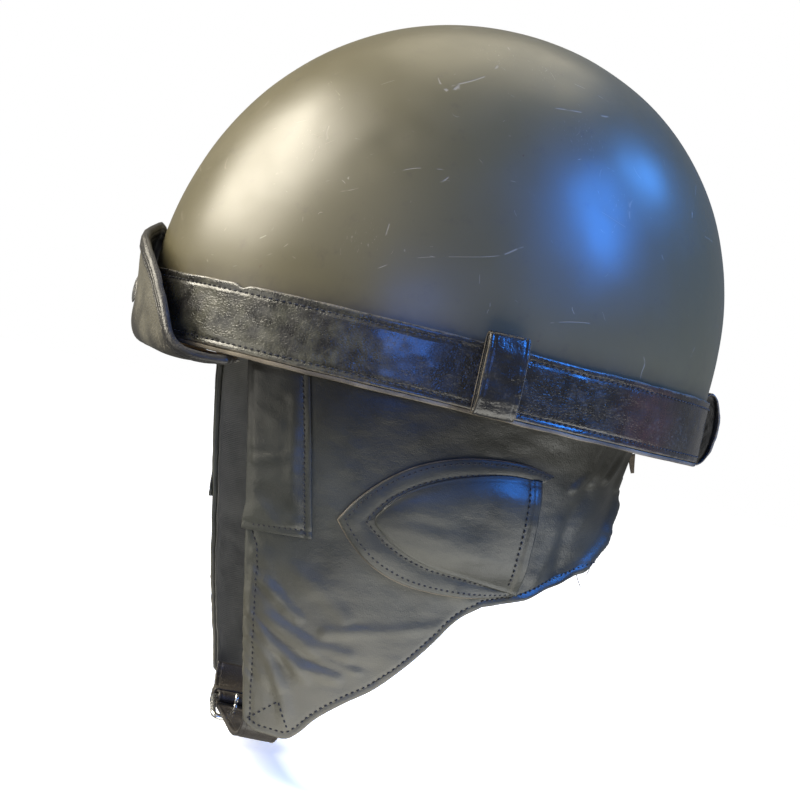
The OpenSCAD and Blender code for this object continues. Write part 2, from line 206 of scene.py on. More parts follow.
def make(name, points, faces, material, uv=None):
    """A mesh object from points in millimetres. The points' rest places and the flat places uv are kept
    for the materials, so that a pattern stays on the surface when the piece bends."""
    points = np.asarray(points, float)
    mesh = bpy.data.meshes.new(name)
    mesh.from_pydata((points * MM).tolist(), [], faces)
    rest = mesh.attributes.new("rest", "FLOAT_VECTOR", "POINT")
    rest.data.foreach_set("vector", points.astype(np.float32).ravel())
    if uv is not None:
        corner = np.zeros(len(mesh.loops), int)
        mesh.loops.foreach_get("vertex_index", corner)
        mesh.uv_layers.new(name="flat").data.foreach_set("uv", uv[corner].astype(np.float32).ravel())
    shape = bmesh.new()
    shape.from_mesh(mesh)
    bmesh.ops.recalc_face_normals(shape, faces=shape.faces)
    shape.to_mesh(mesh)
    shape.free()
    mesh.polygons.foreach_set("use_smooth", np.ones(len(mesh.polygons), bool))
    mesh.materials.append(material)
    piece = bpy.data.objects.new(name, mesh)
    bpy.context.scene.collection.objects.link(piece)
    return piece


def grid_faces(index, closed_rows=False, closed_columns=False):
    """Quads between the rows and columns of an array of vertex numbers."""
    down = np.roll(index, -1, axis=0) if closed_rows else index[1:]
    index = index if closed_rows else index[:-1]
    if closed_columns:
        corners = [index, down, np.roll(down, -1, axis=1), np.roll(index, -1, axis=1)]
    else:
        corners = [index[:, :-1], down[:, :-1], down[:, 1:], index[:, 1:]]
    return np.stack(corners, axis=-1).reshape(-1, 4)


def capped_tube(index):
    """Faces of a tube whose rows of vertex numbers are rings, with a cap on the first and the last."""
    return grid_faces(index, False, True).tolist() + [index[0].tolist(), index[-1][::-1].tolist()]


# How a sheet's edge is rounded: the step outwards to each extra row, and how much of the thickness it keeps
EDGE_STEPS = ((0.55, 0.8), (0.45, 0.0))


def solid(name, grid, half, material, closed=False):
    """A closed sheet with rounded edges, whose middle surface is a grid of points. Columns join into a
    ring where closed is true. half is half the thickness, one number or one at each point."""
    half = np.broadcast_to(np.asarray(half, float), grid.shape[:2])
    share = np.ones(grid.shape[:2])

    def beyond(edge, inner, step, axis):
        row = np.take(grid, [edge], axis)
        away = unit(row - np.take(grid, [inner], axis))
        return row + away * np.take(half, [edge], axis)[..., None] * step

    for axis in ((0,) if closed else (0, 1)):
        for step, kept in EDGE_STEPS:
            grid = np.concatenate([beyond(0, 1, step, axis), grid, beyond(-1, -2, step, axis)], axis=axis)
            half = np.concatenate([np.take(half, [0], axis), half, np.take(half, [-1], axis)], axis=axis)
            edge = np.take(share, [0], axis) * kept
            share = np.concatenate([edge, share, edge], axis=axis)
    rows, columns = grid.shape[:2]
    if closed:
        across = np.roll(grid, -1, axis=1) - np.roll(grid, 1, axis=1)
    else:
        across = np.gradient(grid, axis=1)
    normal = unit(np.cross(np.gradient(grid, axis=0), across))
    lift = normal * (half * share)[..., None]
    front = np.arange(rows * columns).reshape(rows, columns)
    inner = share > 0
    back = front.copy()
    back[inner] = rows * columns + np.arange(inner.sum())
    points = np.concatenate([(grid + lift).reshape(-1, 3), (grid - lift)[inner]])
    faces = np.concatenate([grid_faces(front, closed_columns=closed),
                            grid_faces(back, closed_columns=closed)[:, ::-1]])
    u = distance_run(grid.mean(0))
    v = distance_run(grid.mean(1))
    if closed:
        v = distance_run(grid[:, 0])
    flat = joined(u[None, :], v[:, None])
    uv = np.concatenate([flat.reshape(-1, 2), flat[inner]])
    return make(name, points, faces.tolist(), material, uv)


def rounded(outline, radius, step=2.5):
    """A closed outline with its corners cut to a radius and points no more than a step apart."""
    outline = np.asarray(outline, float)
    points = []
    for k, corner in enumerate(outline):
        before, after = outline[k - 1], outline[(k + 1) % len(outline)]
        cut = min(radius, 0.45 * np.linalg.norm(before - corner), 0.45 * np.linalg.norm(after - corner))
        points += list(bezier(corner + unit(before - corner) * cut, corner,
                              corner + unit(after - corner) * cut, np.linspace(0, 1, 4)))
    filled = []
    for k, point in enumerate(points):
        after = points[(k + 1) % len(points)]
        count = max(1, int(np.ceil(np.linalg.norm(after - point) / step)))
        filled += [mix(point, after, i / count) for i in range(count)]
    return np.array(filled)


def ring(name, outline, material, columns=240, relief=None):
    """A closed outline of (distance outside the shell, height), swept round the rim."""
    turn = full_turn(columns) + math.pi / 2
    out, height = np.asarray(outline, float).T
    out, height, turn = np.broadcast_arrays(out[:, None], height[:, None], turn[None, :])
    if relief is not None:
        shift_out, shift_up = relief(out, height, turn)
        out, height = out + shift_out, height + shift_up
    points = rim_point(turn, out, height)
    index = np.arange(points.shape[0] * columns).reshape(-1, columns)
    run = np.broadcast_to(np.linspace(0, 780, columns)[None, :], index.shape)
    uv = joined(run, height).reshape(-1, 2)
    return make(name, points.reshape(-1, 3), grid_faces(index, True, True).tolist(), material, uv)


def sweep(name, path, section, side, material, closed=False, scale=None):
    """A section of (across, up) points swept along a path. side holds the across direction at each
    point of the path, and up stands square to it and to the path."""
    path = np.asarray(path, float)
    if closed:
        tangent = unit(np.roll(path, -1, axis=0) - np.roll(path, 1, axis=0))
    else:
        tangent = unit(np.gradient(path, axis=0))
    side = np.broadcast_to(np.asarray(side, float), path.shape)
    side = unit(side - (side * tangent).sum(-1, keepdims=True) * tangent)
    up = np.cross(tangent, side)
    scale = np.ones(len(path)) if scale is None else np.asarray(scale, float)
    section = np.asarray(section, float)
    points = (path[:, None] + scale[:, None, None] * (section[None, :, :1] * side[:, None]
                                                     + section[None, :, 1:] * up[:, None]))
    index = np.arange(len(path) * len(section)).reshape(len(path), -1)
    faces = grid_faces(index, True, True).tolist() if closed else capped_tube(index)
    run = distance_run(path)
    around = np.linspace(0, 1, len(section)) * length(section)
    uv = joined(around[None, :], run[:, None]).reshape(-1, 2)
    return make(name, points.reshape(-1, 3), faces, material, uv)


def circle(radius, sides=12):
    turn = full_turn(sides)
    return joined(radius * np.cos(turn), radius * np.sin(turn))


def lathe(name, profile, centre, axis, material, sides=64):
    """A profile of (radius, place along the axis), from axis to axis, turned round it."""
    profile = np.asarray(profile, float)
    axis = unit(np.asarray(axis, float))
    first = unit(np.cross(axis, [0.0, 0.0, 1.0] if abs(axis[2]) < 0.9 else [1.0, 0.0, 0.0]))
    second = np.cross(axis, first)
    turn = full_turn(sides)[None, :, None]
    radial = np.cos(turn) * first + np.sin(turn) * second
    points = np.asarray(centre) + profile[:, None, :1] * radial + profile[:, None, 1:] * axis
    index = np.arange(len(profile) * sides).reshape(-1, sides)
    return make(name, points.reshape(-1, 3), capped_tube(index), material)


# A stitch is a short tube: how high each of its rings lies, in radii, and its number of sides
STITCH_RISE = np.array([-0.9, 0.45, 0.75, 0.45, -0.9])
STITCH_SIDES = 6


def stitches(name, rows, material, pitch, radius, share=0.62):
    """Rows of sewing. Each row is (line of points, outward direction at each point)."""
    points, faces = [], []
    rings = len(STITCH_RISE)
    ring_turn = full_turn(STITCH_SIDES)
    count = 0
    for line, outward in rows:
        total = length(line)
        number = max(1, int(total / pitch))
        start = (np.arange(number) + 0.5 * (1 - share)) * total / number
        spots = start[:, None] + np.linspace(0, share, rings)[None, :] * pitch
        centre = along(line, spots.ravel()).reshape(number, rings, 3)
        run = distance_run(line)
        up = unit(joined(*(np.interp(spots, run, outward[:, k]) for k in range(3))))
        ahead = unit(centre[:, -1:] - centre[:, :1])
        side = unit(np.cross(ahead, up))
        centre = centre + up * (STITCH_RISE * radius)[None, :, None]
        tube = (centre[:, :, None] + radius * (np.cos(ring_turn)[:, None] * side[:, :, None]
                                               + np.sin(ring_turn)[:, None] * up[:, :, None]))
        index = count + np.arange(number * rings * STITCH_SIDES).reshape(number, rings, STITCH_SIDES)
        down = np.stack([index[:, :-1], index[:, 1:], np.roll(index[:, 1:], -1, 2),
                         np.roll(index[:, :-1], -1, 2)], -1)
        faces += down.reshape(-1, 4).tolist()
        faces += index[:, 0].tolist() + index[:, -1, ::-1].tolist()
        points.append(tube.reshape(-1, 3))
        count += index.size
    return make(name, np.concatenate(points), faces, material)


def read_points(piece):
    return np.array([v.co for v in piece.data.vertices]) / MM


def write_points(piece, points):
    piece.data.vertices.foreach_set("co", (points * MM).astype(np.float32).ravel())
    piece.data.update()


# ---------------------------------------------------------------- materials

class Finish:
    """A procedural material: a principled shader and the nodes that feed it. Places are in millimetres."""

    def __init__(self, name, flat=False, **values):
        self.material = bpy.data.materials.new(name)
        self.material.use_nodes = True
        self.nodes = self.material.node_tree.nodes
        self.links = self.material.node_tree.links
        self.shader = self.nodes["Principled BSDF"]
        for socket, value in values.items():
            self.set(socket.replace("_", " "), value)
        if flat:
            self.place = self.add("ShaderNodeUVMap", {}, "UV", uv_map="flat")
        else:
            self.place = self.add("ShaderNodeAttribute", {}, "Vector", attribute_name="rest")

    def set(self, socket, value):
        """Sets or links one of the shader's sockets."""
        self.put(self.shader.inputs[socket], value)

    def put(self, socket, value):
        if isinstance(value, bpy.types.NodeSocket):
            self.links.new(value, socket)
        elif isinstance(value, tuple) and len(value) == 3 and len(socket.default_value) == 4:
            socket.default_value = (*value, 1)
        else:
            socket.default_value = value

    def add(self, kind, inputs, output, **settings):
        """Adds a node and returns one of its outputs."""
        node = self.nodes.new(kind)
        for key, value in settings.items():
            setattr(node, key, value)
        for key, value in inputs.items():
            self.put(node.inputs[key], value)
        return node.outputs[output]

    def scaled(self, stretch):
        """The place, stretched along its axes where a stretch is given."""
        if stretch is None:
            return self.place
        return self.add("ShaderNodeMapping", {"Vector": self.place, "Scale": stretch}, "Vector")

    def noise(self, size, detail=3.0, roughness=0.55, stretch=None, distortion=0.0):
        """Noise from 0 to 1, with features about size millimetres across."""
        inputs = {"Vector": self.scaled(stretch), "Scale": 1 / size, "Detail": detail,
                  "Roughness": roughness, "Distortion": distortion}
        return self.add("ShaderNodeTexNoise", inputs, "Fac")

    def cells(self, size, feature="F1", stretch=None):
        """Distance to the nearest cell middle, or to the nearest cell edge."""
        inputs = {"Vector": self.scaled(stretch), "Scale": 1 / size}
        return self.add("ShaderNodeTexVoronoi", inputs, "Distance", feature=feature)

    def near(self, point, inner, outer):
        """1 inside the inner distance from a point, and 0 outside the outer one."""
        apart = self.add("ShaderNodeVectorMath", {0: self.place, 1: point}, "Value", operation="DISTANCE")
        return self.range(apart, outer, inner)

    def height(self):
        return self.add("ShaderNodeSeparateXYZ", {0: self.place}, "Z")

    def range(self, value, low, high, bottom=0.0, top=1.0):
        """An even curve from bottom, where the value is low, to top, where it is high."""
        inputs = {"Value": value, "From Min": low, "From Max": high, "To Min": bottom, "To Max": top}
        return self.add("ShaderNodeMapRange", inputs, "Result", interpolation_type="SMOOTHSTEP")

    def math(self, operation, a, b):
        return self.add("ShaderNodeMath", {0: a, 1: b}, 0, operation=operation)

    def times(self, a, b):
        return self.math("MULTIPLY", a, b)

    def plus(self, a, b):
        return self.math("ADD", a, b)

    def blend(self, share, a, b):
        """Colour a where the share is 0, and colour b where it is 1."""
        return self.add("ShaderNodeMix", {0: share, 6: a, 7: b}, 2, data_type="RGBA")

    def relief(self, *bumps):
        """Bumps of (height, depth), each on the one before. A height of 1 stands depth mm proud."""
        normal = None
        for height, depth in bumps:
            inputs = {"Height": height, "Distance": depth * MM, "Strength": 1.0}
            if normal is not None:
                inputs["Normal"] = normal
            normal = self.add("ShaderNodeBump", inputs, "Normal")
        self.set("Normal", normal)


def shell_paint():
    """Satin olive paint with hairline scratches, scuffed places, rust specks and dirt by the band."""
    f = Finish("olive_paint", Coat_Weight=0.3, Coat_Roughness=0.3, Specular_IOR_Level=0.5)
    tone = f.blend(f.noise(70, 4), (0.080, 0.069, 0.034), (0.100, 0.087, 0.044))
    tone = f.blend(f.range(f.noise(9, 5, 0.7), 0.55, 0.8), tone, (0.072, 0.060, 0.034))
    scuffs = 0.0
    for point, reach in (((60, -15, 158), 17), ((66, 8, 154), 13), ((88, 26, 128), 16),
                         ((104, -62, 60), 14), ((95, 45, 100), 12), ((70, -88, 96), 14)):
        scuffs = f.plus(f.near(point, reach * 0.2, reach), scuffs)
    marks = 0.0
    for size, stretch, patch, level in ((55, (1, 0.5, 1.6), 13, 0.57), (42, (0.6, 1.7, 0.8), 10, 0.6),
                                        (48, (1.5, 0.9, 0.5), 11, 0.59), (24, (0.7, 1.3, 1.9), 6, 0.63)):
        drift = f.math("ABSOLUTE", f.math("SUBTRACT", f.noise(size, 0.6, stretch=stretch), 0.5), 0)
        where = f.plus(f.noise(patch, 2), f.times(scuffs, 0.1))
        hair = f.times(f.range(drift, 0.0026, 0.0009), f.range(where, level, level + 0.05))
        marks = f.plus(marks, hair)
    speck = f.range(f.noise(1.5, 4, 0.65, stretch=(1, 1.8, 0.6)), 0.62, 0.69)
    marks = f.math("MINIMUM", f.plus(marks, f.times(speck, scuffs)), 1.0)
    tone = f.blend(f.times(marks, 0.5), tone, (0.32, 0.29, 0.23))
    rust = f.times(f.range(f.noise(2.6, 3), 0.71, 0.75), f.range(f.noise(45, 2), 0.5, 0.62))
    tone = f.blend(rust, tone, (0.07, 0.03, 0.014))
    low = f.range(f.height(), 40, 27)
    tone = f.blend(f.times(low, f.noise(6, 4)), tone, (0.035, 0.028, 0.018))
    f.set("Base Color", tone)
    rough = f.range(f.noise(24, 5), 0.3, 0.75, 0.36, 0.46)
    f.set("Roughness", f.plus(rough, f.times(marks, 0.2)))
    f.relief((f.noise(2.2, 2), 0.010), (f.noise(38, 1), 0.35), (marks, -0.03))
    return f.material


def leather(name, light, dark, roughness, grain=1.1, grain_depth=0.10, crease=0.25, scuff=0.0,
            coat=0.0, worn=(0.30, 0.27, 0.22), painted_rim_shade=0.0):
    """Leather: pebbled grain, soft wrinkles, tone changes and scuffed patches. The last argument, from 0 to
    1, is how dark the painted shade is close under the rim, where the band's shadow falls; with it, the low
    tips of the flaps are painted lighter, as if lit from below."""
    f = Finish(name, Coat_Weight=coat, Coat_Roughness=0.3, Specular_IOR_Level=0.5)
    tone = f.blend(f.range(f.noise(26, 4), 0.35, 0.65), dark, light)
    pebble = f.cells(grain, "DISTANCE_TO_EDGE")
    tone = f.blend(f.times(f.range(pebble, 0.09, 0.0), 0.35), tone, tuple(0.5 * c for c in dark))
    marks = f.times(f.range(f.noise(1.6, 6, 0.75), 0.52, 0.66),
                   f.range(f.noise(20, 3), 0.46, 0.62))
    tone = f.blend(f.times(marks, scuff), tone, worn)
    if painted_rim_shade:
        # Painted light: the low tips of the flaps are made lighter, standing in for light bounced up from
        # below
        tone = f.blend(f.range(f.height(), -65, -140), tone, f.blend(0.7, tone, (0.105, 0.098, 0.074)))
        # Painted shade: the leather close under the rim is made nearly black, standing in for the band's
        # shadow
        tone = f.blend(f.range(f.height(), -48, -8, 0.0, painted_rim_shade), tone, (0.006, 0.006, 0.003))
    f.set("Base Color", tone)
    low, high = roughness
    rough = f.range(f.noise(14, 4), 0.3, 0.7, low, high)
    f.set("Roughness", f.plus(rough, f.times(marks, 0.25 * scuff)))
    f.relief((f.range(pebble, 0.0, 0.35), grain_depth),
             (f.noise(7, 3, 0.5, stretch=(1, 0.7, 1.5)), crease), (f.noise(2.2, 3, 0.6), 0.3 * crease))
    return f.material


def band_leather():
    """Glossy black leather with crinkles, scuffs, a purple-brown worn place and raw tan edges."""
    f = Finish("band_leather", Coat_Weight=0.5, Coat_Roughness=0.14, Specular_IOR_Level=0.5)
    tone = f.blend(f.range(f.noise(22, 4), 0.35, 0.7), (0.006, 0.006, 0.006), (0.016, 0.015, 0.014))
    brown = f.near((86, 80, 14), 6, 30)
    tone = f.blend(f.times(brown, f.noise(6, 3)), tone, (0.060, 0.026, 0.026))
    marks = f.times(f.range(f.noise(1.6, 6, 0.8, stretch=(1, 0.7, 1.5)), 0.50, 0.68),
                   f.range(f.noise(14, 3), 0.42, 0.68))
    tone = f.blend(f.times(marks, 0.45), tone, (0.15, 0.14, 0.115))
    ragged = f.times(f.noise(3.5, 4), 2.6)
    edge_top = f.range(f.plus(f.height(), ragged), 29.2, 30.3)
    edge_low = f.range(f.plus(f.height(), ragged), 2.6, 1.4)
    worn = f.times(f.math("MAXIMUM", edge_top, edge_low), 0.7)
    dust = f.times(f.near((80, -90, 14), 30, 75), f.range(f.noise(9, 5), 0.35, 0.75))
    tone = f.blend(dust, tone, (0.070, 0.068, 0.048))
    tone = f.blend(worn, tone, (0.15, 0.13, 0.095))
    f.set("Base Color", tone)
    rough = f.range(f.noise(7, 5), 0.3, 0.7, 0.20, 0.40)
    f.set("Roughness", f.plus(rough, f.times(f.math("MAXIMUM", marks, worn), 0.35)))
    f.set("Coat Weight", f.range(f.math("MAXIMUM", marks, worn), 0.0, 0.6, 0.5, 0.0))
    grain = f.range(f.cells(1.5, "DISTANCE_TO_EDGE", stretch=(1, 1, 1.35)), 0.0, 0.3)
    f.relief((grain, 0.06), (f.noise(6, 4, 0.6), 0.45), (f.noise(2.4, 3), 0.16))
    return f.material


def weave(name, light, dark, pitch, depth, roughness=0.9):
    """Plain woven cloth on the piece's flat places."""
    f = Finish(name, flat=True, Sheen_Weight=0.25, Sheen_Roughness=0.5, Roughness=roughness)
    inputs = {"Vector": f.place, "Scale": 0.314 / pitch, "Distortion": 0.8, "Detail": 1.0}
    warp, weft = (f.add("ShaderNodeTexWave", inputs, "Fac", wave_type="BANDS", bands_direction=axis)
                  for axis in "XY")
    checks = f.math("MAXIMUM", warp, weft)
    tone = f.blend(f.range(f.noise(12, 4), 0.3, 0.7), dark, light)
    f.set("Base Color", f.blend(f.times(f.range(checks, 0.95, 0.5), 0.6), tone,
                                tuple(0.5 * c for c in dark)))
    f.relief((checks, depth), (f.noise(9, 3), 0.3))
    return f.material


def fibres(name, light, dark, size, depth, roughness=0.95):
    """Felt, cork or thread: short tangled features of one size."""
    f = Finish(name, Sheen_Weight=0.15, Roughness=roughness)
    spots = f.noise(size, 5, 0.7, distortion=0.8)
    tone = f.blend(f.range(spots, 0.35, 0.65), dark, light)
    f.set("Base Color", f.blend(f.range(f.noise(size * 8, 3), 0.4, 0.7), tone, dark))
    f.relief((spots, depth))
    return f.material


def cork():
    f = Finish("cork_grains", Roughness=0.85)
    grain = f.cells(2.6)
    tone = f.blend(f.range(grain, 0.1, 0.7), (0.42, 0.27, 0.14), (0.26, 0.15, 0.07))
    pits = f.range(f.noise(3, 3), 0.62, 0.7)
    f.set("Base Color", f.blend(pits, tone, (0.07, 0.035, 0.015)))
    f.relief((grain, 0.25), (pits, -0.5))
    return f.material


def metal(name, colour, worn, roughness, wear):
    """Old plated metal: brushed, tarnished in patches and pitted."""
    f = Finish(name, Metallic=1.0)
    patches = f.range(f.noise(3.5, 5, 0.65), 0.7 - 0.3 * wear, 0.75)
    f.set("Base Color", f.blend(patches, colour, worn))
    low, high = roughness
    f.set("Roughness", f.range(f.noise(1.2, 3, stretch=(1, 6, 1)), 0.3, 0.7, low, high))
    f.relief((patches, -0.05), (f.noise(0.5, 3), 0.02))
    return f.material


PAINT = shell_paint()
BLACK = leather("black_leather", (0.030, 0.028, 0.024), (0.012, 0.011, 0.010), (0.34, 0.55), 1.5, 0.07,
                0.35, scuff=0.5, coat=0.15, worn=(0.14, 0.125, 0.10))
PEAK = leather("peak_leather", (0.115, 0.108, 0.084), (0.030, 0.028, 0.023), (0.38, 0.56), 1.4, 0.07,
               0.4, scuff=0.7, coat=0.1, worn=(0.20, 0.18, 0.14))
KEEPER = leather("keeper_leather", (0.010, 0.010, 0.010), (0.005, 0.005, 0.005), (0.2, 0.34), 1.8, 0.05,
                 0.7, scuff=0.25, coat=0.5, worn=(0.12, 0.11, 0.09))
BAND = band_leather()
GREY = leather("grey_leather", (0.039, 0.041, 0.033), (0.021, 0.023, 0.019), (0.36, 0.48), 0.9, 0.035,
               0.30, scuff=0.05, coat=0.12, worn=(0.09, 0.085, 0.07), painted_rim_shade=0.92)
STRAP = leather("strap_leather", (0.040, 0.034, 0.028), (0.018, 0.015, 0.013), (0.38, 0.58), 1.2, 0.07,
                0.25, scuff=0.4, coat=0.1)
TAN = leather("tan_leather", (0.30, 0.20, 0.12), (0.17, 0.105, 0.06), (0.5, 0.7), 1.0, 0.05, 0.3,
              scuff=0.2, worn=(0.10, 0.07, 0.045))
EDGE = leather("edge_leather", (0.19, 0.16, 0.115), (0.07, 0.058, 0.042), (0.6, 0.8), 0.8, 0.05, 0.2,
               scuff=0.6, worn=(0.03, 0.028, 0.025))
LINING = weave("lining_cloth", (0.085, 0.085, 0.078), (0.050, 0.050, 0.047), 0.6, 0.12)
FELT = fibres("felt_fibres", (0.30, 0.28, 0.24), (0.19, 0.17, 0.15), 0.7, 0.3)
LACE = fibres("lace_fibres", (0.46, 0.40, 0.30), (0.30, 0.25, 0.18), 0.5, 0.2)
THREAD = fibres("dark_thread", (0.008, 0.008, 0.009), (0.003, 0.003, 0.004), 0.25, 0.05, 0.75)
CORK = cork()
STUD = metal("aged_stud", (0.45, 0.44, 0.41), (0.10, 0.07, 0.045), (0.22, 0.45), 0.5)
STEEL = metal("buckle_plate", (0.62, 0.62, 0.60), (0.30, 0.24, 0.17), (0.16, 0.34), 0.2)


def finish_piece(piece, body, slot, *nodes):
    """A rigid piece: the body it rides on, its material slot (not used) and the CAD nodes it stands for."""
    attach(piece, body)
    if nodes:
        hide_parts(*nodes)


def sew(name, rows, slot, pitch, radius, thread=None, body="root"):
    finish_piece(stitches(name, rows, thread or THREAD, pitch, radius), body, slot)


# ---------------------------------------------------------------- shell and its lower edge

def dome_shares(lift):
    """How wide and how high the dome is at a lift: 0 at the skirt's top, a right angle at the crown."""
    return np.cos(lift) ** (2 / DOME_POWER), np.sin(lift) ** (2 / DOME_POWER)


def dome_point(lift, turn, out):
    """A point at a distance outside the shell's dome."""
    level, rise = dome_shares(lift)
    return joined((HALF_WIDE + out) * level * np.cos(turn),
                  (HALF_LONG + out) * level * np.sin(turn) + CROWN_BACK * rise,
                  SKIRT_HEIGHT + (SHELL_HEIGHT - SKIRT_HEIGHT + out) * rise)


def build_shell():
    columns = 180
    turn = full_turn(columns)[None, :]
    lifts = np.linspace(math.radians(89.3), 0, 66)[:, None]
    low = np.array([22, 11, 2, 0.6])[:, None]

    def skin(out):
        return np.concatenate([dome_point(lifts, turn, out), rim_point(turn, out, low)])

    outer, inner = skin(0.0), skin(-SHELL_WALL)
    away = unit(outer - [0, 0, 40])
    dent = 0.35 * noise(outer, 46, 3) + 0.12 * noise(outer, 17, 4)
    for point, reach, depth in (((92, -70, 92), 9, 0.5), ((88, -58, 104), 7, 0.4), ((104, 20, 60), 12, 0.4),
                                ((-90, 30, 100), 14, 0.6), ((20, 120, 90), 11, 0.5)):
        dent -= depth * np.exp(-((outer - point) ** 2).sum(-1) / reach ** 2)
    dent *= smooth(28, 44, outer[..., 2])
    outer = outer + away * dent[..., None]
    edge = 0.5 * (outer[-1] + inner[-1])
    edge[:, 2] = 0.2
    rows = np.concatenate([outer, edge[None], inner[::-1]])
    index = np.arange(rows.shape[0] * columns).reshape(-1, columns)
    shell = make("shell_visual", rows.reshape(-1, 3), capped_tube(index), PAINT)
    finish_piece(shell, "root", "shell_paint", "shell")


def band_relief(out, height, turn):
    """Uneven thickness and edges of the band, and a dip along each row of sewing."""
    place = rim_point(turn, out, height)
    face = smooth(0.9, 1.5, out)
    bulge = 0.30 * noise(place, 21, 11) + 0.16 * noise(place * [1, 1, 1.6], 7, 12)
    dip = sum(np.exp(-((height - seam) / 0.8) ** 2) for seam in BAND_SEAMS)
    tear = np.exp(-((turn - TEAR_TURN) / 0.022) ** 2) * smooth(25, 29, height)
    shift_out = face * (bulge * smooth(0, 4, height) - 0.45 * dip)
    waves = 0.5 * noise(place, 34, 13) + 0.25 * noise(place, 9, 14)
    shift_up = smooth(14, 28, height) * (waves - 1.6 * tear)
    return shift_out, shift_up


def build_band():
    band = rounded([(0.1, 0.1), (BAND_WALL + 0.15, 0.1), (BAND_WALL + 0.25, 14),
                    (BAND_WALL + 0.05, BAND_HEIGHT - 0.1), (0.1, BAND_HEIGHT - 0.1)], 0.8, 0.75)
    finish_piece(ring("band_visual", band, BAND, 420, band_relief), "root", "black_leather", "shell_band")
    turn = np.linspace(0, 2 * math.pi, 400)
    rows = [(rim_point(turn, BAND_WALL - 0.12, seam), rim_outward(turn)) for seam in BAND_SEAMS]
    sew("band_stitching", rows, "black_leather", 3.1, 0.32)


def build_rim_binding():
    inner = -SHELL_WALL - 1
    binding = rounded([(BAND_WALL, -BINDING_DROP), (BAND_WALL, -0.05), (-SHELL_WALL, -0.05),
                       (-SHELL_WALL, 10), (inner, 10), (inner, -BINDING_DROP)], 0.45, 1.5)

    def uneven(out, height, turn):
        place = rim_point(turn, out, height)
        return 0.12 * noise(place, 8, 21), smooth(3, -2, height) * 0.22 * noise(place, 12, 22)

    finish_piece(ring("rim_binding_visual", binding, EDGE, 360, uneven), "root", "tan_leather",
                 "rim_binding")


# Node, place round the rim and lean in degrees, side, seed and how far the face bows out
KEEPERS = (("left_keeper", 2.5, 1.5, 1, 101, 0.6), ("right_keeper", 2.5, 1.5, -1, 103, 0.6),
           ("rear_keeper", 90, 0, 1, 105, 3.8))


def build_keeper(node, degrees, lean, side, seed, bulge):
    """A strap folded into a flat loop, standing on the band, with creased borders, raw edges and a
    face that bows out."""
    radius = (KEEPER_DEPTH - 1.6) / 2
    straight = (KEEPER_HEIGHT - KEEPER_DEPTH) / 2
    bends = np.linspace(-math.pi / 2, math.pi / 2, 12)
    upper = joined(radius * np.sin(bends), straight + radius * np.cos(bends))
    loop = resampled(np.concatenate([upper, -upper, upper[:1]]), 0.9)[:-1]
    path = joined(loop[:, 0], 0, loop[:, 1])
    width = np.r_[np.linspace(-9, -6.2, 6), np.linspace(-5.2, 5.2, 9), np.linspace(6.2, 9, 6)]
    border = np.exp(-((np.abs(width) - 7.2) / 0.45) ** 2)
    face = 0.8 - 0.35 * border - 0.28 * smooth(8.0, 9.0, np.abs(width))
    under = np.linspace(9, -9, 9)[1:-1]
    section = np.concatenate([joined(width, face), [[9.15, 0]],
                              joined(under, -0.78), [[-9.15, 0]]])
    turn = np.array([math.radians(degrees)])
    outward = rim_outward(turn)[0]
    spin = Matrix.Rotation(math.atan2(outward[1], outward[0]), 3, "Z")
    turned = np.array(spin @ Matrix.Rotation(math.radians(lean), 3, "X"))
    centre = rim_point(turn, BAND_WALL, KEEPER_MIDDLE)[0] + outward * (KEEPER_DEPTH / 2 + 0.05)

    def place(piece):
        points = read_points(piece)
        front = smooth(-1, 3, points[:, 0])
        crinkle = 0.28 * noise(points * [1, 1, 1.8], 4.5, seed) + 0.25 * noise(points, 11, seed + 1)
        points[:, 0] += front * (crinkle + bulge * (1 - (points[:, 2] / 18) ** 2)
                                 - 0.9 * smooth(9, 16, np.abs(points[:, 2])))
        points[:, 1] *= 1 + 0.02 * noise(points * [0, 0, 1], 9, seed + 2)
        points = points @ turned.T + centre
        points[:, 0] *= side
        write_points(piece, points)
        if side < 0:
            piece.data.flip_normals()
            piece.data.update()

    strap = sweep(f"{node}_loop", path, section[::-1], [0, 1, 0], KEEPER, closed=True)
    place(strap)
    finish_piece(strap, "root", "black_leather", node)
    for number, across in enumerate((-9.05, 9.05)):
        edge = sweep(f"{node}_loop_edge_{number}", path + [0, across, 0], circle(0.3, 8), [0, 1, 0], EDGE,
                     closed=True)
        place(edge)
        finish_piece(edge, "root", "tan_leather")


# ---------------------------------------------------------------- peak and its stud

# Guide lines of the peak, from its middle to its side end: the root, the fold below and the free edge
PEAK_SHARES = [0, 0.25, 0.45, 0.62, 0.76, 0.88, 0.95, 1]
ROOT_LINE = [(0, -116, -3.2), (22, -115.6, -3.2), (39, -114.2, -3.2), (52, -111.5, -3.2),
             (58, -108, -3.2), (63, -104, -3.2), (67, -100, -3.2), (69, -97, -3.2)]
FOLD_LINE = [(0, -140.6, -8.4), (22, -137.9, -9), (38, -134.8, -9.6), (50, -131.5, -10),
             (58, -127.5, -9.8), (65, -120, -8.8), (70, -111, -6.6), (73, -102, -3.9)]
FREE_LINE = [(0, -140.8, 45), (22, -138.8, 45), (39, -133.8, 35.5), (52, -130.1, 22.3), (61, -128.3, 11.8),
             (69, -125.8, -1.2), (74.5, -117.5, -5.8), (76, -102, -3.5)]


# Profiles of the press stud as (radius, height)
CAP_PROFILE = [(0.01, 1.4), (1.8, 1.36), (3.6, 1.2), (5.0, 0.9), (6.1, 0.5), (6.5, 0.15), (6.3, -0.1),
               (5.8, -0.2), (2.1, -0.2), (2.1, -2.6), (4.6, -2.7), (4.8, -3.0), (4.8, -4.1), (4.5, -4.3),
               (2.9, -4.3), (2.8, -3.4), (0.01, -3.4)]
POST_PROFILE = [(0.01, 1.3), (1.7, 1.25), (2.2, 1.05), (2.3, 0.8), (2.0, 0.6), (2.0, 0.5), (4.2, 0.45),
                (4.8, 0.3), (4.9, -0.2), (0.01, -0.2)]


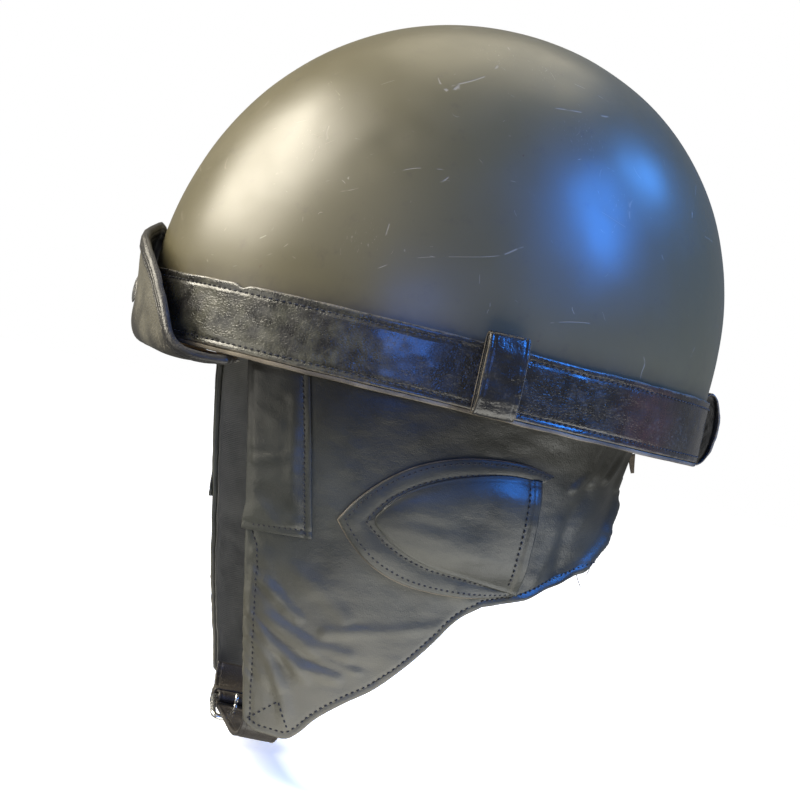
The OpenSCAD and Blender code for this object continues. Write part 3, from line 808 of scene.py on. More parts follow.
def guide(line, share):
    """One of the peak's guide lines at a share of the way to its end, mirrored for a share below 0."""
    knots = np.array(line, float)
    even = np.linspace(0, 1, 41)
    out = []
    for k in range(3):
        values = np.interp(even, PEAK_SHARES, knots[:, k])
        padded = np.r_[values[5:0:-1] * (-1 if k == 0 else 1), values, 2 * values[-1] - values[-2:-7:-1]]
        soft = np.convolve(padded, np.hanning(11) / np.hanning(11).sum(), "valid")
        out.append(np.interp(np.abs(share), even, soft))
    return joined(out[0] * np.sign(share), out[1], out[2])


def peak_line(share):
    """The peak's middle surface from the free edge to the root, at a share of the way to its side end.
    Its near corner leans out and its far half is higher and leans in."""
    root, fold, free = (guide(line, share) for line in (ROOT_LINE, FOLD_LINE, FREE_LINE))
    lean = free[0] * math.exp(-(free[0] / 45) ** 2)
    free = free + [0, -0.26 * lean, -0.27 * lean]
    s = np.linspace(1, 0, 90)[:, None]
    line = fold + (1 - s) ** 3 * (root - fold) + s ** 3 * (free - fold)
    upper = smooth(0.45, 0.8, s[:, 0])
    flat = np.exp(-((line[:, 0] ** 2 + (line[:, 2] - STUD_Z) ** 2) / 150))
    wave = 1.0 * noise(line * [1, 1, 1.4], 22, 31) + 0.4 * noise(line * [1.4, 1, 0.8], 9, 32)
    line[:, 1] += upper * (1 - flat) * wave
    return line


def peak_grid(distances, shares):
    """Points on the peak's middle surface at distances from the free edge; the last one is the root."""
    columns = []
    for share in shares:
        line = peak_line(share)
        total = length(line)
        inner = np.linspace(distances[-1] / total, 1, 46)[1:] * total
        columns.append(along(line, np.r_[distances, inner]))
    return np.stack(columns, axis=1)


def peak_blend(piece):
    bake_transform(piece)


def build_peak_leather(shares):
    grid = peak_grid(np.r_[np.arange(1, 7) * 0.9, 7.0, 8.5], shares)
    hole = np.exp(-((grid[..., 0] ** 2 + (grid[..., 2] - STUD_Z) ** 2) / 60))
    grid[..., 1] += 0.9 * hole
    leather_piece = solid("peak_leather", grid, PEAK_WALL / 2, PEAK)
    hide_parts("peak", "peak_root")
    peak_blend(leather_piece)


def build_peak_binding(shares):
    rows = np.array([0.3, 0.7, 1.1, 1.5, 1.9, 2.3, 2.9, 3.5, 3.9, 4.3, 4.7, 5.1])
    bound = peak_grid(rows, shares)[:len(rows)]
    groove = sum(np.exp(-((rows - seam) / 0.35) ** 2) for seam in PEAK_SEAMS)
    half = PEAK_WALL / 2 + 0.8 - 0.4 * groove - 0.25 * smooth(1.0, 0.3, rows)
    binding = solid("peak_binding_leather", bound, half[:, None] + 0.12 * noise(bound, 5, 33), BLACK)
    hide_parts("peak_binding")
    peak_blend(binding)


def build_peak_stitching():
    """Two rows on the binding and one on the leather below it."""
    lines = []
    sewn = peak_grid(np.array([*PEAK_SEAMS, 5.9]), np.linspace(-0.99, 0.99, 320))[:3]
    for row, rise in ((0, 1.5), (1, 1.5), (2, 1.1)):
        across = np.gradient(sewn[row], axis=0)
        down = sewn[2] - sewn[0]
        outward = unit(np.cross(across, down))
        outward *= np.where(outward[:, 1:2] > 0, -1, 1)
        lines.append((sewn[row] + outward * rise, outward))
    sewing = stitches("peak_stitching", lines, THREAD, 2.7, 0.3)
    peak_blend(sewing)


def build_stud():
    cap = lathe("stud_cap_visual", CAP_PROFILE, (0, -140.8, STUD_Z), (0, -1, 0), STUD)
    finish_piece(cap, "peak", "stud_metal", "stud_cap")
    post = lathe("stud_post_visual", POST_PROFILE, (0, -HALF_LONG - BAND_WALL - 0.3, STUD_Z),
                 (0, -1, 0), STUD)
    finish_piece(post, "root", "stud_metal", "stud_post")


def build_peak():
    shares = np.linspace(-1, 1, 151)
    shares = 0.75 * shares + 0.25 * np.sin(shares * math.pi / 2)
    build_peak_leather(shares)
    build_peak_binding(shares)
    build_peak_stitching()
    build_stud()


# ---------------------------------------------------------------- curtain and cheek flaps

def under_seam(z):
    return np.maximum(0.0, SEW_HEIGHT - np.asarray(z, float))


def side_half(z):
    return CURTAIN_SIDE - 0.008 * under_seam(z) ** 1.6


def rear_half(z):
    return CURTAIN_FRONT - 23 + 23 * np.exp(-under_seam(z) / 14.4)


def front_edge_y(z):
    """The curtain's front edge, which steps back below the panel."""
    z = np.asarray(z, float)
    return -90 - 0.21 * z + 2.6 * smooth(-73, -81, z)


def angle_at(y, z):
    """The angle round the curtain of a point at y on the side."""
    y = np.asarray(y, float)
    return np.arcsin(np.clip(y / np.where(y < 0, CURTAIN_FRONT, rear_half(z)), -1, 1))


def curtain_at(turn, z, out):
    """A point on the left curtain's middle surface at an angle and height, moved outwards by out."""
    turn, z, out = np.broadcast_arrays(*(np.asarray(v, float) for v in (turn, z, out)))
    reach = np.where(np.sin(turn) < 0, CURTAIN_FRONT, rear_half(z)) + out
    return joined((side_half(z) + out) * np.cos(turn), reach * np.sin(turn), z)


def ridge(y, z, line, width, rise):
    """A fold along a line of (y, z) points, highest along the line."""
    nearest = np.full(np.shape(y), 1e9)
    for a, b in zip(line[:-1], line[1:]):
        dy, dz = b[0] - a[0], b[1] - a[1]
        share = np.clip(((y - a[0]) * dy + (z - a[1]) * dz) / (dy * dy + dz * dz), 0, 1)
        nearest = np.minimum(nearest, np.hypot(y - a[0] - share * dy, z - a[1] - share * dz))
    return rise * np.exp(-(nearest / width) ** 2)


# Folds of the old leather: the line in (y, z), the width and the rise
FOLDS = [
    ([(-66, -100), (-54, -109), (-36, -116), (-20, -117)], 2.2, 1.1),
    ([(-64, -109), (-54, -118), (-38, -127), (-22, -128)], 2.2, 1.2),
    ([(-62, -119), (-50, -127), (-41, -143), (-38, -152)], 2.2, 1.0),
    ([(-65, -113), (-58, -117), (-50, -124)], 1.4, 0.8),
    ([(-68, -90), (-60, -94), (-50, -104)], 1.5, 0.7),
    ([(-67, -96), (-58, -103)], 1.2, 0.6),
    ([(-62, -128), (-54, -134), (-49, -146)], 1.5, 0.7),
    ([(-68, -82), (-54, -84), (-38, -92), (-26, -101)], 3.0, 0.9),
    ([(-64, -85), (-57, -100)], 2.0, 0.7),
    ([(-32, -109), (-10, -103), (14, -96)], 2.4, 0.7),
    ([(-38, -122), (-24, -122), (-8, -120)], 3.4, -0.5),
    ([(-50, -120), (-42, -131)], 2.4, -0.6),
    ([(54, -78), (64, -71), (78, -58), (90, -38), (97, -16)], 3.2, 3.0),
    ([(60, -80), (74, -69), (86, -53), (94, -32)], 2.6, -2.2),
    ([(70, -71), (82, -64), (92, -54)], 2.0, 1.8),
    ([(66, -62), (64, -40), (72, -19)], 4.5, -1.6),
    ([(54, -66), (58, -52), (60, -40)], 3.0, 1.2),
    ([(80, -17), (86, -8), (92, 2)], 1.8, 1.8),
    ([(73, -20), (79, -8), (84, 4)], 1.7, 1.5),
    ([(62, -24), (70, -14), (74, 0)], 1.8, 1.2),
    ([(90, -20), (94, -8), (98, 2)], 1.7, 1.7),
    ([(86, -40), (92, -28)], 2.0, 1.3),
    ([(-66, -104), (-50, -113), (-30, -121), (-14, -123)], 1.3, 1.1),
    ([(-65, -107), (-52, -119), (-34, -132)], 1.3, 1.1),
    ([(-64, -116), (-54, -124), (-44, -138)], 1.3, 1.1),
    ([(-64, -122), (-57, -127), (-50, -137)], 1.2, 0.9),
    ([(-67, -93), (-56, -97), (-44, -106)], 1.3, 0.9),
    ([(-62, -133), (-56, -138), (-53, -147)], 1.2, 0.8),
    ([(76, -60), (86, -44), (92, -22)], 1.6, 1.4),
    ([(66, -76), (80, -62), (90, -46)], 1.5, -1.2),
    ([(18, -79), (38, -86), (50, -80)], 2.4, 0.8),
]


# The two sides: 1 is left and -1 is right
NAMES = {1: "left", -1: "right"}
SEEDS = {1: 41, -1: 61}


def relief(turn, z, side):
    """How far the leather's wrinkles stand off its smooth surface."""
    seed = SEEDS[side]
    place = curtain_at(turn, z, 0)
    y = place[..., 1]
    seam = smooth(80, 87, np.degrees(turn))

    def lumps(size, stretch, number):
        own = noise(place * stretch, size, seed + number)
        return mix(own, noise(place * stretch, size, 90 + number), seam)

    soft = 0.75 * lumps(34, [1, 1, 1], 0) + 0.4 * lumps(15, [1, 1, 1.7], 1)
    fine = 0.2 * lumps(6.5, [1, 0.8, 1.4], 2)
    folds = sum(ridge(y, z, line, width, rise) for line, width, rise in FOLDS)
    jitter = 1 + 0.5 * lumps(12, [1, 1, 1], 3)
    free = smooth(8, -14, z)
    ear = np.exp(-(((y - 8) / 40) ** 4 + ((z + 48) / 26) ** 4))
    rear = smooth(58, 92, y) * np.exp(-((z + 42) / 27) ** 2)
    return free * (folds * jitter + 5.0 * rear + (soft + fine) * (1 - 0.7 * ear))


def leather_at(turn, z, out, side):
    """A point on one side's leather, wrinkles included, at out from its middle surface."""
    turn, z = np.broadcast_arrays(np.asarray(turn, float), np.asarray(z, float))
    point = curtain_at(turn, z, out + relief(turn, z, side))
    point[..., 0] *= side
    return point


def in_order(grid, side):
    """The grid with its columns turned round on the right, so that its front faces outwards there too."""
    return grid[:, ::-1] if side < 0 else grid


def leather_outward(turn, z, side):
    """The outward direction of the leather, by small steps."""
    step = 0.6
    across, down = ([leather_at(turn + a * step / 100, z + b * step, 0, side) for a, b in pair]
                    for pair in (((1, 0), (-1, 0)), ((0, 1), (0, -1))))
    return side * unit(np.cross(across[0] - across[1], down[0] - down[1]))


# The flap's free edge in (y, z), from its front corner round the tip to the notch under the ear
HEM_LINE = [(-55.2, FLAP_TIP_Z + 3.5), (-51, FLAP_TIP_Z + 0.5), (-44, FLAP_TIP_Z - 0.3),
            (-35, FLAP_TIP_Z), (-30.5, -154.5), (-27, -149), (-17, -138.5), (-5, -128.5), (4, -117.5),
            (13.5, -104), (23, -89.6), (NOTCH_Y, -82.2)]


def hem_line(count):
    """(angle, height) points along the free lower edge, from the front edge to the middle of the back."""
    front = curve(HEM_LINE, 100)
    turn = np.radians(np.linspace(math.degrees(float(angle_at(NOTCH_Y, SIDE_HEM_Z))) + 2, 90, 60))
    span = (turn - turn[0]) / (turn[-1] - turn[0])
    z = mix(SIDE_HEM_Z - 0.5, NECK_HEM_Z, np.sin(span * math.pi / 2) ** 1.35)
    rear = joined(turn, z + 0.5 * np.sin(span * 29) * (1 - span))
    turns = np.concatenate([angle_at(front[:, 0], front[:, 1]), rear[:, 0]])
    heights = np.concatenate([front[:, 1], rear[:, 1]])
    place = curtain_at(turns, heights, 0)
    run = distance_run(place)
    even = edge_shares(count, 3.0 / run[-1]) * run[-1]
    return np.interp(even, run, turns), np.interp(even, run, heights)


def edge_shares(count, seam):
    """Shares from 0 to 1 with extra ones round the seam near each end."""
    close = np.array([0, 0.35, 0.7, 0.88, 1.0, 1.12, 1.35, 1.8]) * seam
    middle = np.linspace(close[-1], 1 - close[-1], count)[1:-1]
    return np.concatenate([close, middle, 1 - close[::-1]])


def curtain_mesh(columns, rows):
    """(angle, height) of each point of one side's leather, rows from the top down."""
    turn_low, z_low = hem_line(columns)
    y_low = curtain_at(turn_low, z_low, 0)[:, 1]
    y_high = np.interp(y_low, [y_low.min(), 30, 200], [float(front_edge_y(SEW_HEIGHT)), 30, 200])
    turn_high = np.where(turn_low < angle_at(30, SIDE_HEM_Z), angle_at(y_high, SEW_HEIGHT), turn_low)
    turn_high = np.maximum.accumulate(turn_high)
    share = edge_shares(rows, 3.0 / 150)[:, None]
    z = mix(CURTAIN_TOP, z_low[None, :], share)
    turn = mix(turn_high[None, :], turn_low[None, :], share)
    return turn, z


def seam_dip(turn, z, lines, width=0.9, depth=0.4):
    """A dip along lines of sewing, given as (angle, height) points."""
    place = curtain_at(turn, z, 0)
    dip = np.zeros(place.shape[:-1])
    for line_turn, line_z in lines:
        line = curtain_at(line_turn, line_z, 0)
        for a, b in zip(line[:-1], line[1:]):
            d = b - a
            share = np.clip(((place - a) @ d) / max(d @ d, 1e-9), 0, 1)
            gap = np.linalg.norm(place - a - share[..., None] * d, axis=-1)
            dip = np.maximum(dip, np.exp(-(gap / width) ** 2))
    return depth * dip


def inset_hem(distance):
    """The sewing line at a distance inside the free lower edge and up the front edge."""
    turn, z = hem_line(160)
    place = joined(turn * 100, z)
    tangent = unit(np.gradient(place, axis=0))
    inner = place + distance * joined(-tangent[:, 1], tangent[:, 0])
    keep = slice(4, None)
    z_up = np.linspace(inner[keep][0][1], 6, 90)
    front = joined(angle_at(front_edge_y(z_up) + distance, z_up), z_up)[::-1]
    return (np.r_[front[:, 0], inner[keep][:, 0] / 100], np.r_[front[:, 1], inner[keep][:, 1]])


# Outlines of the ear patch in (y, z), from its point to its open rear end
EAR_OUTER_TOP = [(-39.8, -59.3), (-35.3, -50.7), (-27.3, -40.3), (-15.5, -30.2), (1, -22.6),
                 (19.4, -18.9), (33.7, -18.3), (48, -20.6)]
EAR_OUTER_LOW = [(-39.8, -59.3), (-32.8, -66.9), (-21.4, -75.2), (-7, -80), (8.5, -81), (24, -79.8),
                 (46, -75)]
EAR_INNER_TOP = [(-25.8, -56.2), (-21.5, -48.4), (-12.8, -39.9), (-1.6, -33.6), (12.3, -28.6),
                 (25.3, -25.6), (41.5, -25)]
EAR_INNER_LOW = [(-25.8, -56.2), (-15.7, -62.9), (0.9, -68.7), (21, -71), (44.4, -73.6)]


def on_leather(points, out, side):
    """Points given as (y, z) on the leather, at out from its middle surface."""
    turn = angle_at(points[..., 0], points[..., 1])
    return leather_at(turn, points[..., 1], out, side)


def raised_row(turn, z, out, side):
    """A row at out from the leather's middle surface, and the outward direction at each point."""
    return leather_at(turn, z, out, side), leather_outward(turn, z, side)


def leather_row(points, out, side):
    """A row of sewing on the leather, from (y, z) points."""
    y, z = resampled(points, 1.5).T
    return raised_row(angle_at(y, z), z, out, side)


def cheek_blend(piece):
    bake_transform(piece)


def ear_lift(s, r):
    """How far the ear cover stands off the leather: s from its point to its open end, r across."""
    return 6.4 * s ** 0.8 * (1 - np.abs(2 * r - 1) ** 3.4)


def build_curtain(side):
    """The leather of one side, from the hoop to the free edge."""
    name = NAMES[side]
    turn, z = curtain_mesh(118, 96)
    dip = seam_dip(turn, z, [inset_hem(HEM_SEAM)])
    outer = solid(f"{name}_curtain_leather", in_order(leather_at(turn, z, -dip, side), side), 1.0, GREY)
    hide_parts(f"{name}_curtain", f"{name}_cheek_flap")
    cheek_blend(outer)


def build_lining(side):
    name = NAMES[side]
    turn, z = curtain_mesh(70, 56)
    grid = in_order(leather_at(turn, np.minimum(z, LINING_TOP), -LINING_DEPTH, side), side)
    lining = solid(f"{name}_lining_cloth", grid[1:-1, 1:-1], 0.5, LINING)
    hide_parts(f"{name}_lining", f"{name}_flap_lining")
    cheek_blend(lining)


def build_hem_stitching(side):
    rows = [raised_row(*inset_hem(HEM_SEAM), 0.62, side),
            leather_row([(-54, -155.5), (-43, -144), (-36, -155.5)], 1.0, side)]
    sewing = stitches(f"{NAMES[side]}_hem_stitching", rows, THREAD, 2.6, 0.40)
    cheek_blend(sewing)


def build_front_panel(side):
    """The doubled front edge of the curtain, puffed between its seams."""
    name, seed = NAMES[side], SEEDS[side]
    down = edge_shares(40, 3.0 / 72)[:, None]
    across = edge_shares(16, 2.6 / 24)[None, :]
    z = mix(1.0, PANEL_BOTTOM + 3 * across, down)
    front = front_edge_y(z) - 1.6 * smooth(-60, -72, z)
    y = mix(front, -66 - 0.25 * z, across)
    turn = angle_at(y, z)
    place = curtain_at(turn, z, 0)
    puff = smooth(0, 0.16, across) * smooth(0.94, 0.7, across) * smooth(1, 0.9, down)
    swell = (1.3 + 0.7 * noise(place * [1, 1, 1.5], 17, seed + 7)
             + 0.45 * noise(place * [1, 0.5, 2.2], 6, seed + 8))
    folds = sum(ridge(y, z, line, width, rise) for line, width, rise in (
        ([(-82, -38), (-70, -35)], 1.6, 1.0), ([(-81, -44), (-66, -38)], 1.8, 1.1),
        ([(-67, -14), (-60, -52)], 3.0, 0.9), ([(-78, -56), (-70, -62), (-62, -70)], 2.2, 0.8),
        ([(-80, -52), (-73, -52)], 1.4, 0.6), ([(-84, -20), (-72, -24)], 2.0, 0.7)))
    dips = 0.28 * (np.exp(-((across - 0.895) / 0.03) ** 2) + np.exp(-((down - 0.962) / 0.012) ** 2))
    grid = leather_at(turn, z, 1.4 + 0.6 * puff * (swell + folds) - dips, side)
    grid = in_order(grid, side)
    panel = solid(f"{name}_front_panel_leather", grid, 0.5, GREY)
    finish_piece(panel, "root", "grey_leather", f"{name}_front_panel")
    rise = 1.65
    line = np.linspace(0.5, PANEL_BOTTOM + 3, 40)
    upright = joined(-66 - 0.25 * line - 2.6, line)
    bottom = np.array([(float(front_edge_y(-71)) + 2, -70.6), (-52, -67.6)])
    rows = [leather_row(upright, rise, side), leather_row(bottom, rise, side)]
    sew(f"{name}_panel_stitching", rows, "grey_leather", 2.3, 0.36)


def both_arcs(top, low, count):
    """One line from the rear end of the upper arc round the point to the rear end of the lower arc."""
    return np.concatenate([curve(top, count)[::-1], curve(low, count)[1:]])


def build_ear_border(side):
    """The ear patch's flat border. Returns its rows of sewing."""
    name = NAMES[side]
    outer = both_arcs(EAR_OUTER_TOP, EAR_OUTER_LOW, 80)
    inner = both_arcs(EAR_INNER_TOP, EAR_INNER_LOW, 80)
    share = np.array([0.04, 0.12, 0.2, 0.3, 0.5, 0.7, 0.8, 0.88, 1.0, 1.15])[:, None]
    points = mix(outer, inner, share[..., None])
    puff = 0.5 * smooth(0.04, 0.2, share) - 0.3 * sum(np.exp(-((share - seam) / 0.06) ** 2)
                                                       for seam in (0.2, 0.8))
    grid = on_leather(points, EAR_BORDER_LIFT + puff, side)
    grid = in_order(grid, side)
    border = solid(f"{name}_ear_border_leather", grid, 0.65, GREY)
    finish_piece(border, "root", "grey_leather", f"{name}_ear_border")
    sewing = [leather_row(mix(outer, inner, place), rise, side)
              for place, rise in ((0.2, 2.55), (0.8, 2.6))]
    y, z = resampled(outer, 1.2).T
    path, outward = raised_row(angle_at(y, z), z, 1.95, side)
    finish_piece(sweep(f"{name}_ear_edge", path, circle(0.42, 8), outward, EDGE), "root", "tan_leather")
    return sewing


def build_ear_cover(side):
    """The ear patch's scoop, which is open behind. Returns the row of sewing at its open end."""
    name, seed = NAMES[side], SEEDS[side]
    s = np.r_[np.linspace(0.03, 0.88, 46), np.linspace(0.89, 1, 14)]
    top, low = (curve(line, 400)[np.round(s * 399).astype(int)] for line in (EAR_INNER_TOP, EAR_INNER_LOW))
    r = np.linspace(-0.02, 1.02, 44)[:, None]
    points = mix(top[None], low[None], r[..., None])
    lean = 0.42 * ear_lift(s, np.clip(r, 0, 1)) * s
    points = points - joined(lean, 0)
    place = curtain_at(angle_at(points[..., 0], points[..., 1]), points[..., 1], 0)
    s_grid = np.broadcast_to(s, r.shape[:1] + s.shape)
    lift = ear_lift(s_grid, np.clip(r, 0, 1))
    creases = 0.35 * noise(place * [1, 0.6, 1.7], 8, seed + 10)
    lift = lift * (1 + 0.14 * noise(place, 15, seed + 9)) + smooth(0, 3, lift) * creases
    seam = np.exp(-((s_grid - SCOOP_SEAM) / 0.008) ** 2)
    roll = smooth(0.955, 0.97, s_grid)
    half = 0.7 + 0.3 * roll - 0.2 * seam
    grid = on_leather(points, EAR_COVER_LIFT + lift + 0.35 * roll, side)
    cover = solid(f"{name}_ear_cover_leather", in_order(grid, side), in_order(half, side), GREY)
    finish_piece(cover, "root", "grey_leather", f"{name}_ear_cover")
    column = int(np.argmin(np.abs(s - SCOOP_SEAM)))
    y, z = points[2:-2, column].T
    return raised_row(angle_at(y, z), z, EAR_COVER_LIFT + lift[2:-2, column] + 0.7, side)


def build_ear(side):
    rows = build_ear_border(side) + [build_ear_cover(side)]
    sew(f"{NAMES[side]}_ear_stitching", rows, "grey_leather", 2.6, 0.40)


def build_neck_strip():
    """The strip over the seam at the middle of the back."""
    turn = np.radians(np.linspace(86.1, 93.9, 17))[None, :]
    z = np.linspace(-0.5, NECK_HEM_Z + 0.8, 34)[:, None]
    rise = 1.75 + relief(np.minimum(turn, math.pi - turn), z, 1)
    grid = curtain_at(turn, z, rise)
    strip = solid("neck_seam_leather", grid, 0.6, GREY)
    finish_piece(strip, "root", "grey_leather", "neck_seam")
    line = np.linspace(-2, NECK_HEM_Z + 3, 30)
    rows = []
    for degrees in (87.3, 92.7):
        level = np.full_like(line, math.radians(degrees))
        path = curtain_at(level, line, 2.3 + relief(np.minimum(level, math.pi - level), line, 1))
        rows.append((path, unit(path * [1, 1, 0])))
    sew("neck_stitching", rows, "grey_leather", 2.4, 0.27)


def build_torn_tag():
    bend = np.linspace(0, 1, 12)
    path = curtain_at(math.radians(72), -3.0, 2.2) + joined(bend, 2.4 * bend, -9.5 * bend + 0.8 * bend ** 3)
    section = rounded([(-2.0, -0.5), (2.0, -0.5), (2.0, 0.5), (-2.0, 0.5)], 0.3)
    tag = sweep("torn_tag", path, section, [-0.3, 0.9, 0.1], EDGE, scale=np.linspace(1, 0.45, 12))
    finish_piece(tag, "root", "tan_leather")


def build_loose_threads():
    """Threads that hang from the hem behind."""
    loose = np.random.default_rng(5)
    bend = np.linspace(0, 1, 12)
    for k, degrees in enumerate((52, 58, 63, 67, 74)):
        turn = math.radians(degrees)
        start = leather_at(turn, hem_height(turn) + 0.5, 0.6, 1)
        reach = loose.uniform(3, 6.5)
        curl = loose.uniform(-2.5, 2.5, 2)
        path = start + joined(1.2 * bend, 1.5 * bend + curl[0] * bend ** 2,
                              -reach * bend + curl[1] * bend ** 3)
        thread = sweep(f"loose_thread_{k}", path, circle(0.17, 6), [1, 0.3, 0], THREAD)
        finish_piece(thread, "root", "grey_leather")


def hem_height(turn):
    turns, heights = hem_line(160)
    return float(np.interp(turn, turns, heights))


# ---------------------------------------------------------------- harness

def sweat_out(z):
    return -SWEAT_DEPTH - 9 * (np.asarray(z) - SEW_HEIGHT) / 34


def tongue_at(number, lift, spread):
    """A point on a tongue: lift runs from the hoop to the crown, and spread from -1 to 1 across it."""
    turn = math.radians(45 * number) + TONGUE_HALF * spread * (1 - 0.12 * np.sin(2 * lift) ** 2)
    out = -1.0 - 0.9 * np.sin(2 * lift) * (1 - spread ** 2)
    level, rise = dome_shares(lift)
    wide, deep = HALF_WIDE - HOOP_DEPTH + out, HALF_LONG - HOOP_DEPTH + out
    return joined(mix(LACE_RADIUS, wide, level) * np.cos(turn),
                  mix(LACE_RADIUS, deep, level) * np.sin(turn) + LACE_BACK * rise,
                  mix(HOOP_TOP, LACE_HEIGHT + out, rise))


def rough(out, height, turn):
    """The uneven surface of the harness's rings."""
    place = rim_point(turn, out, height)
    return 0.12 * noise(place, 9, 71), 0.15 * noise(place, 13, 72)


def build_cork_and_hoop():
    cork_ring = rounded([(-15.7, 3), (-4.5, 3), (-4.5, 10), (-3.5, 10), (-3.5, 33), (-15.7, 33)], 0.5)
    finish_piece(ring("cork_band_visual", cork_ring, CORK, 240, rough), "root", "cork", "cork_band")
    hoop = rounded([(-HOOP_DEPTH, SEW_HEIGHT), (-HOOP_DEPTH, HOOP_TOP), (-SWEAT_DEPTH, HOOP_TOP),
                    (-SWEAT_DEPTH, SEW_HEIGHT)], 0.6)
    finish_piece(ring("liner_hoop_visual", hoop, TAN, 240, rough), "root", "tan_leather", "liner_hoop")


def build_sweatband():
    """The leather band that touches the head. Returns its rows of sewing."""
    turn = full_turn(240)[None, :] + math.pi / 2
    z = np.linspace(46, SEW_HEIGHT, 24)[:, None]
    out = sweat_out(z) - 0.75
    out = out + 0.7 * noise(rim_point(turn, out, z), 30, 73) * smooth(12, 24, z)
    band = solid("sweatband_leather", rim_point(turn, out, z), 0.7, TAN, closed=True)
    finish_piece(band, "root", "tan_leather", "sweatband")
    level = np.linspace(0, 2 * math.pi, 400)
    return [(rim_point(level, sweat_out(height) - lift, height), -rim_outward(level))
            for height, lift in ((SEW_HEIGHT + 2.2, 1.55), (43.5, 1.5))]


def build_tongues():
    """Eight leather tongues from the hoop to the crown lace. Returns their rows of sewing."""
    rows = []
    for k in range(8):
        grid = tongue_at(k, np.radians(np.linspace(88, 0, 50))[:, None], np.linspace(-1, 1, 19)[None, :])
        tongue = solid(f"liner_tongue_{k}", grid, 0.85, TAN)
        finish_piece(tongue, "root", "tan_leather", *(["liner_tongues"] if k == 0 else []))
        for edge in (-0.88, 0.88):
            path = tongue_at(k, np.radians(np.linspace(80, 6, 60)), edge)
            inward = unit(np.array([0, 0, 40.0]) - path)
            rows.append((path + inward * 0.8, inward))
    return rows


def build_crown_lace():
    """Two strands twisted together in a ring."""
    turn = full_turn(220)
    for k in range(2):
        twist = turn * 26 + math.pi * k
        radius = LACE_RADIUS - 1.8 + 0.75 * np.cos(twist)
        path = joined(radius * np.cos(turn), radius * np.sin(turn) + LACE_BACK,
                      LACE_HEIGHT - 1 + 0.75 * np.sin(twist))
        strand = sweep(f"crown_lace_strand_{k}", path, circle(0.95, 10), [0, 0, 1], LACE, closed=True)
        finish_piece(strand, "root", "lace", *(["crown_lace"] if k == 0 else []))


def build_pads():
    """Eight felt pads between the sweatband and the hoop, and one under the crown."""
    for k in range(8):
        angle = np.radians(45 * k + np.linspace(11.25, 33.75, 15))[None, :]
        z = np.linspace(37.5, 22.5, 12)[:, None]
        inner = sweat_out(z) + 0.4
        place = rim_point(angle, 0.5 * (inner - SWEAT_DEPTH), z)
        half = np.abs(0.5 * (inner + SWEAT_DEPTH)) * 0.92 + 0.12 * noise(place, 8, 74 + k)
        pad = solid(f"felt_pad_{k}", place, half, FELT)
        finish_piece(pad, "root", "felt", *(["felt_pads"] if k == 0 else []))
    lift = np.radians(np.linspace(89, 68.5, 26))[:, None]
    place = dome_point(lift, full_turn(96)[None, :], -6.1)
    half = 2.4 * (1 - 0.35 * smooth(74, 68, np.degrees(lift))) + 0.15 * noise(place, 10, 90)
    pad = solid("crown_pad_felt", place, half, FELT, closed=True)
    finish_piece(pad, "root", "felt", "crown_pad")


def build_harness():
    build_cork_and_hoop()
    rows = build_sweatband() + build_tongues()
    sew("harness_stitching", rows, "lace", 3.4, 0.3, thread=LACE)
    build_crown_lace()
    build_pads()


# ---------------------------------------------------------------- chin strap and buckle

def inner_x(z):
    y = STRAP_Y - STRAP_WIDTH / 2
    return (side_half(z) - 2.2) * np.sqrt(1 - (y / (CURTAIN_FRONT - 2.2)) ** 2)


def strap_section(width, wall, border=True):
    """A flat strap's section: rounded edges and a pressed line near each edge of both faces."""
    half = width / 2
    edge = np.linspace(0.4, min(3.4, 0.4 * width), 9)
    across = np.r_[edge - half, np.linspace(edge[-1] - half, half - edge[-1], 7)[1:-1], half - edge[::-1]]
    face = wall / 2 - (0.22 * border) * np.exp(-((np.abs(across) - half + 2.0) / 0.4) ** 2)
    top = joined(across, face)
    bottom = joined(across[::-1], -face[::-1])
    return np.concatenate([top, [[half, 0.25 * wall], [half, -0.25 * wall]], bottom,
                           [[-half, -0.25 * wall], [-half, 0.25 * wall]]])


def in_plane(points):
    """(x, z) points as 3-D points in the strap's plane."""
    points = np.asarray(points, float)
    return joined(points[:, 0], STRAP_Y, points[:, 1])


def build_chin_strap():
    """The strap, from its sewn end on the left flap round under the chin to its pointed tail."""
    anchor_z = 1 + FLAP_TIP_Z
    heights = np.linspace(-134, anchor_z, 12)
    sewn = joined(inner_x(heights) - ANCHOR_GAP, heights)
    start = np.array([inner_x(anchor_z) - 1.6, anchor_z - 1.6])
    bend = bezier(start, (start[0] - 6, STRAP_Z), (22, STRAP_Z), np.linspace(0, 1, 40))
    path = resampled(np.concatenate([sewn, bend, [(TAIL_X, STRAP_Z)]]), 0.8)
    tip = np.clip((path[:, 0] - TAIL_X) / 7, 0, 1)
    width = np.sqrt(np.clip(1 - (1 - tip) ** 2, 0.02, 1))
    section = strap_section(STRAP_WIDTH, STRAP_WALL)
    piece = sweep("chin_strap_leather", in_plane(path), section, [0, 1, 0], STRAP)
    points = read_points(piece)
    points[:, 1] = STRAP_Y + (points[:, 1] - STRAP_Y) * np.repeat(width, len(section))
    write_points(piece, points)
    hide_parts("chin_strap", "strap_anchor")
    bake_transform(piece)
    box_line = [(-137, -7), (-137, 7), (-152, 7), (-152, -7), (-137, -7)]
    outline = resampled([[inner_x(h) - ANCHOR_GAP, STRAP_Y + v, h] for h, v in box_line], 1.5)
    inward = np.broadcast_to([-1.0, 0, -0.2], outline.shape)
    sew("strap_anchor_stitching", [(outline - [1.0, 0, 0], unit(inward))], "strap_leather", 2.6, 0.3,
        body="left_cheek")


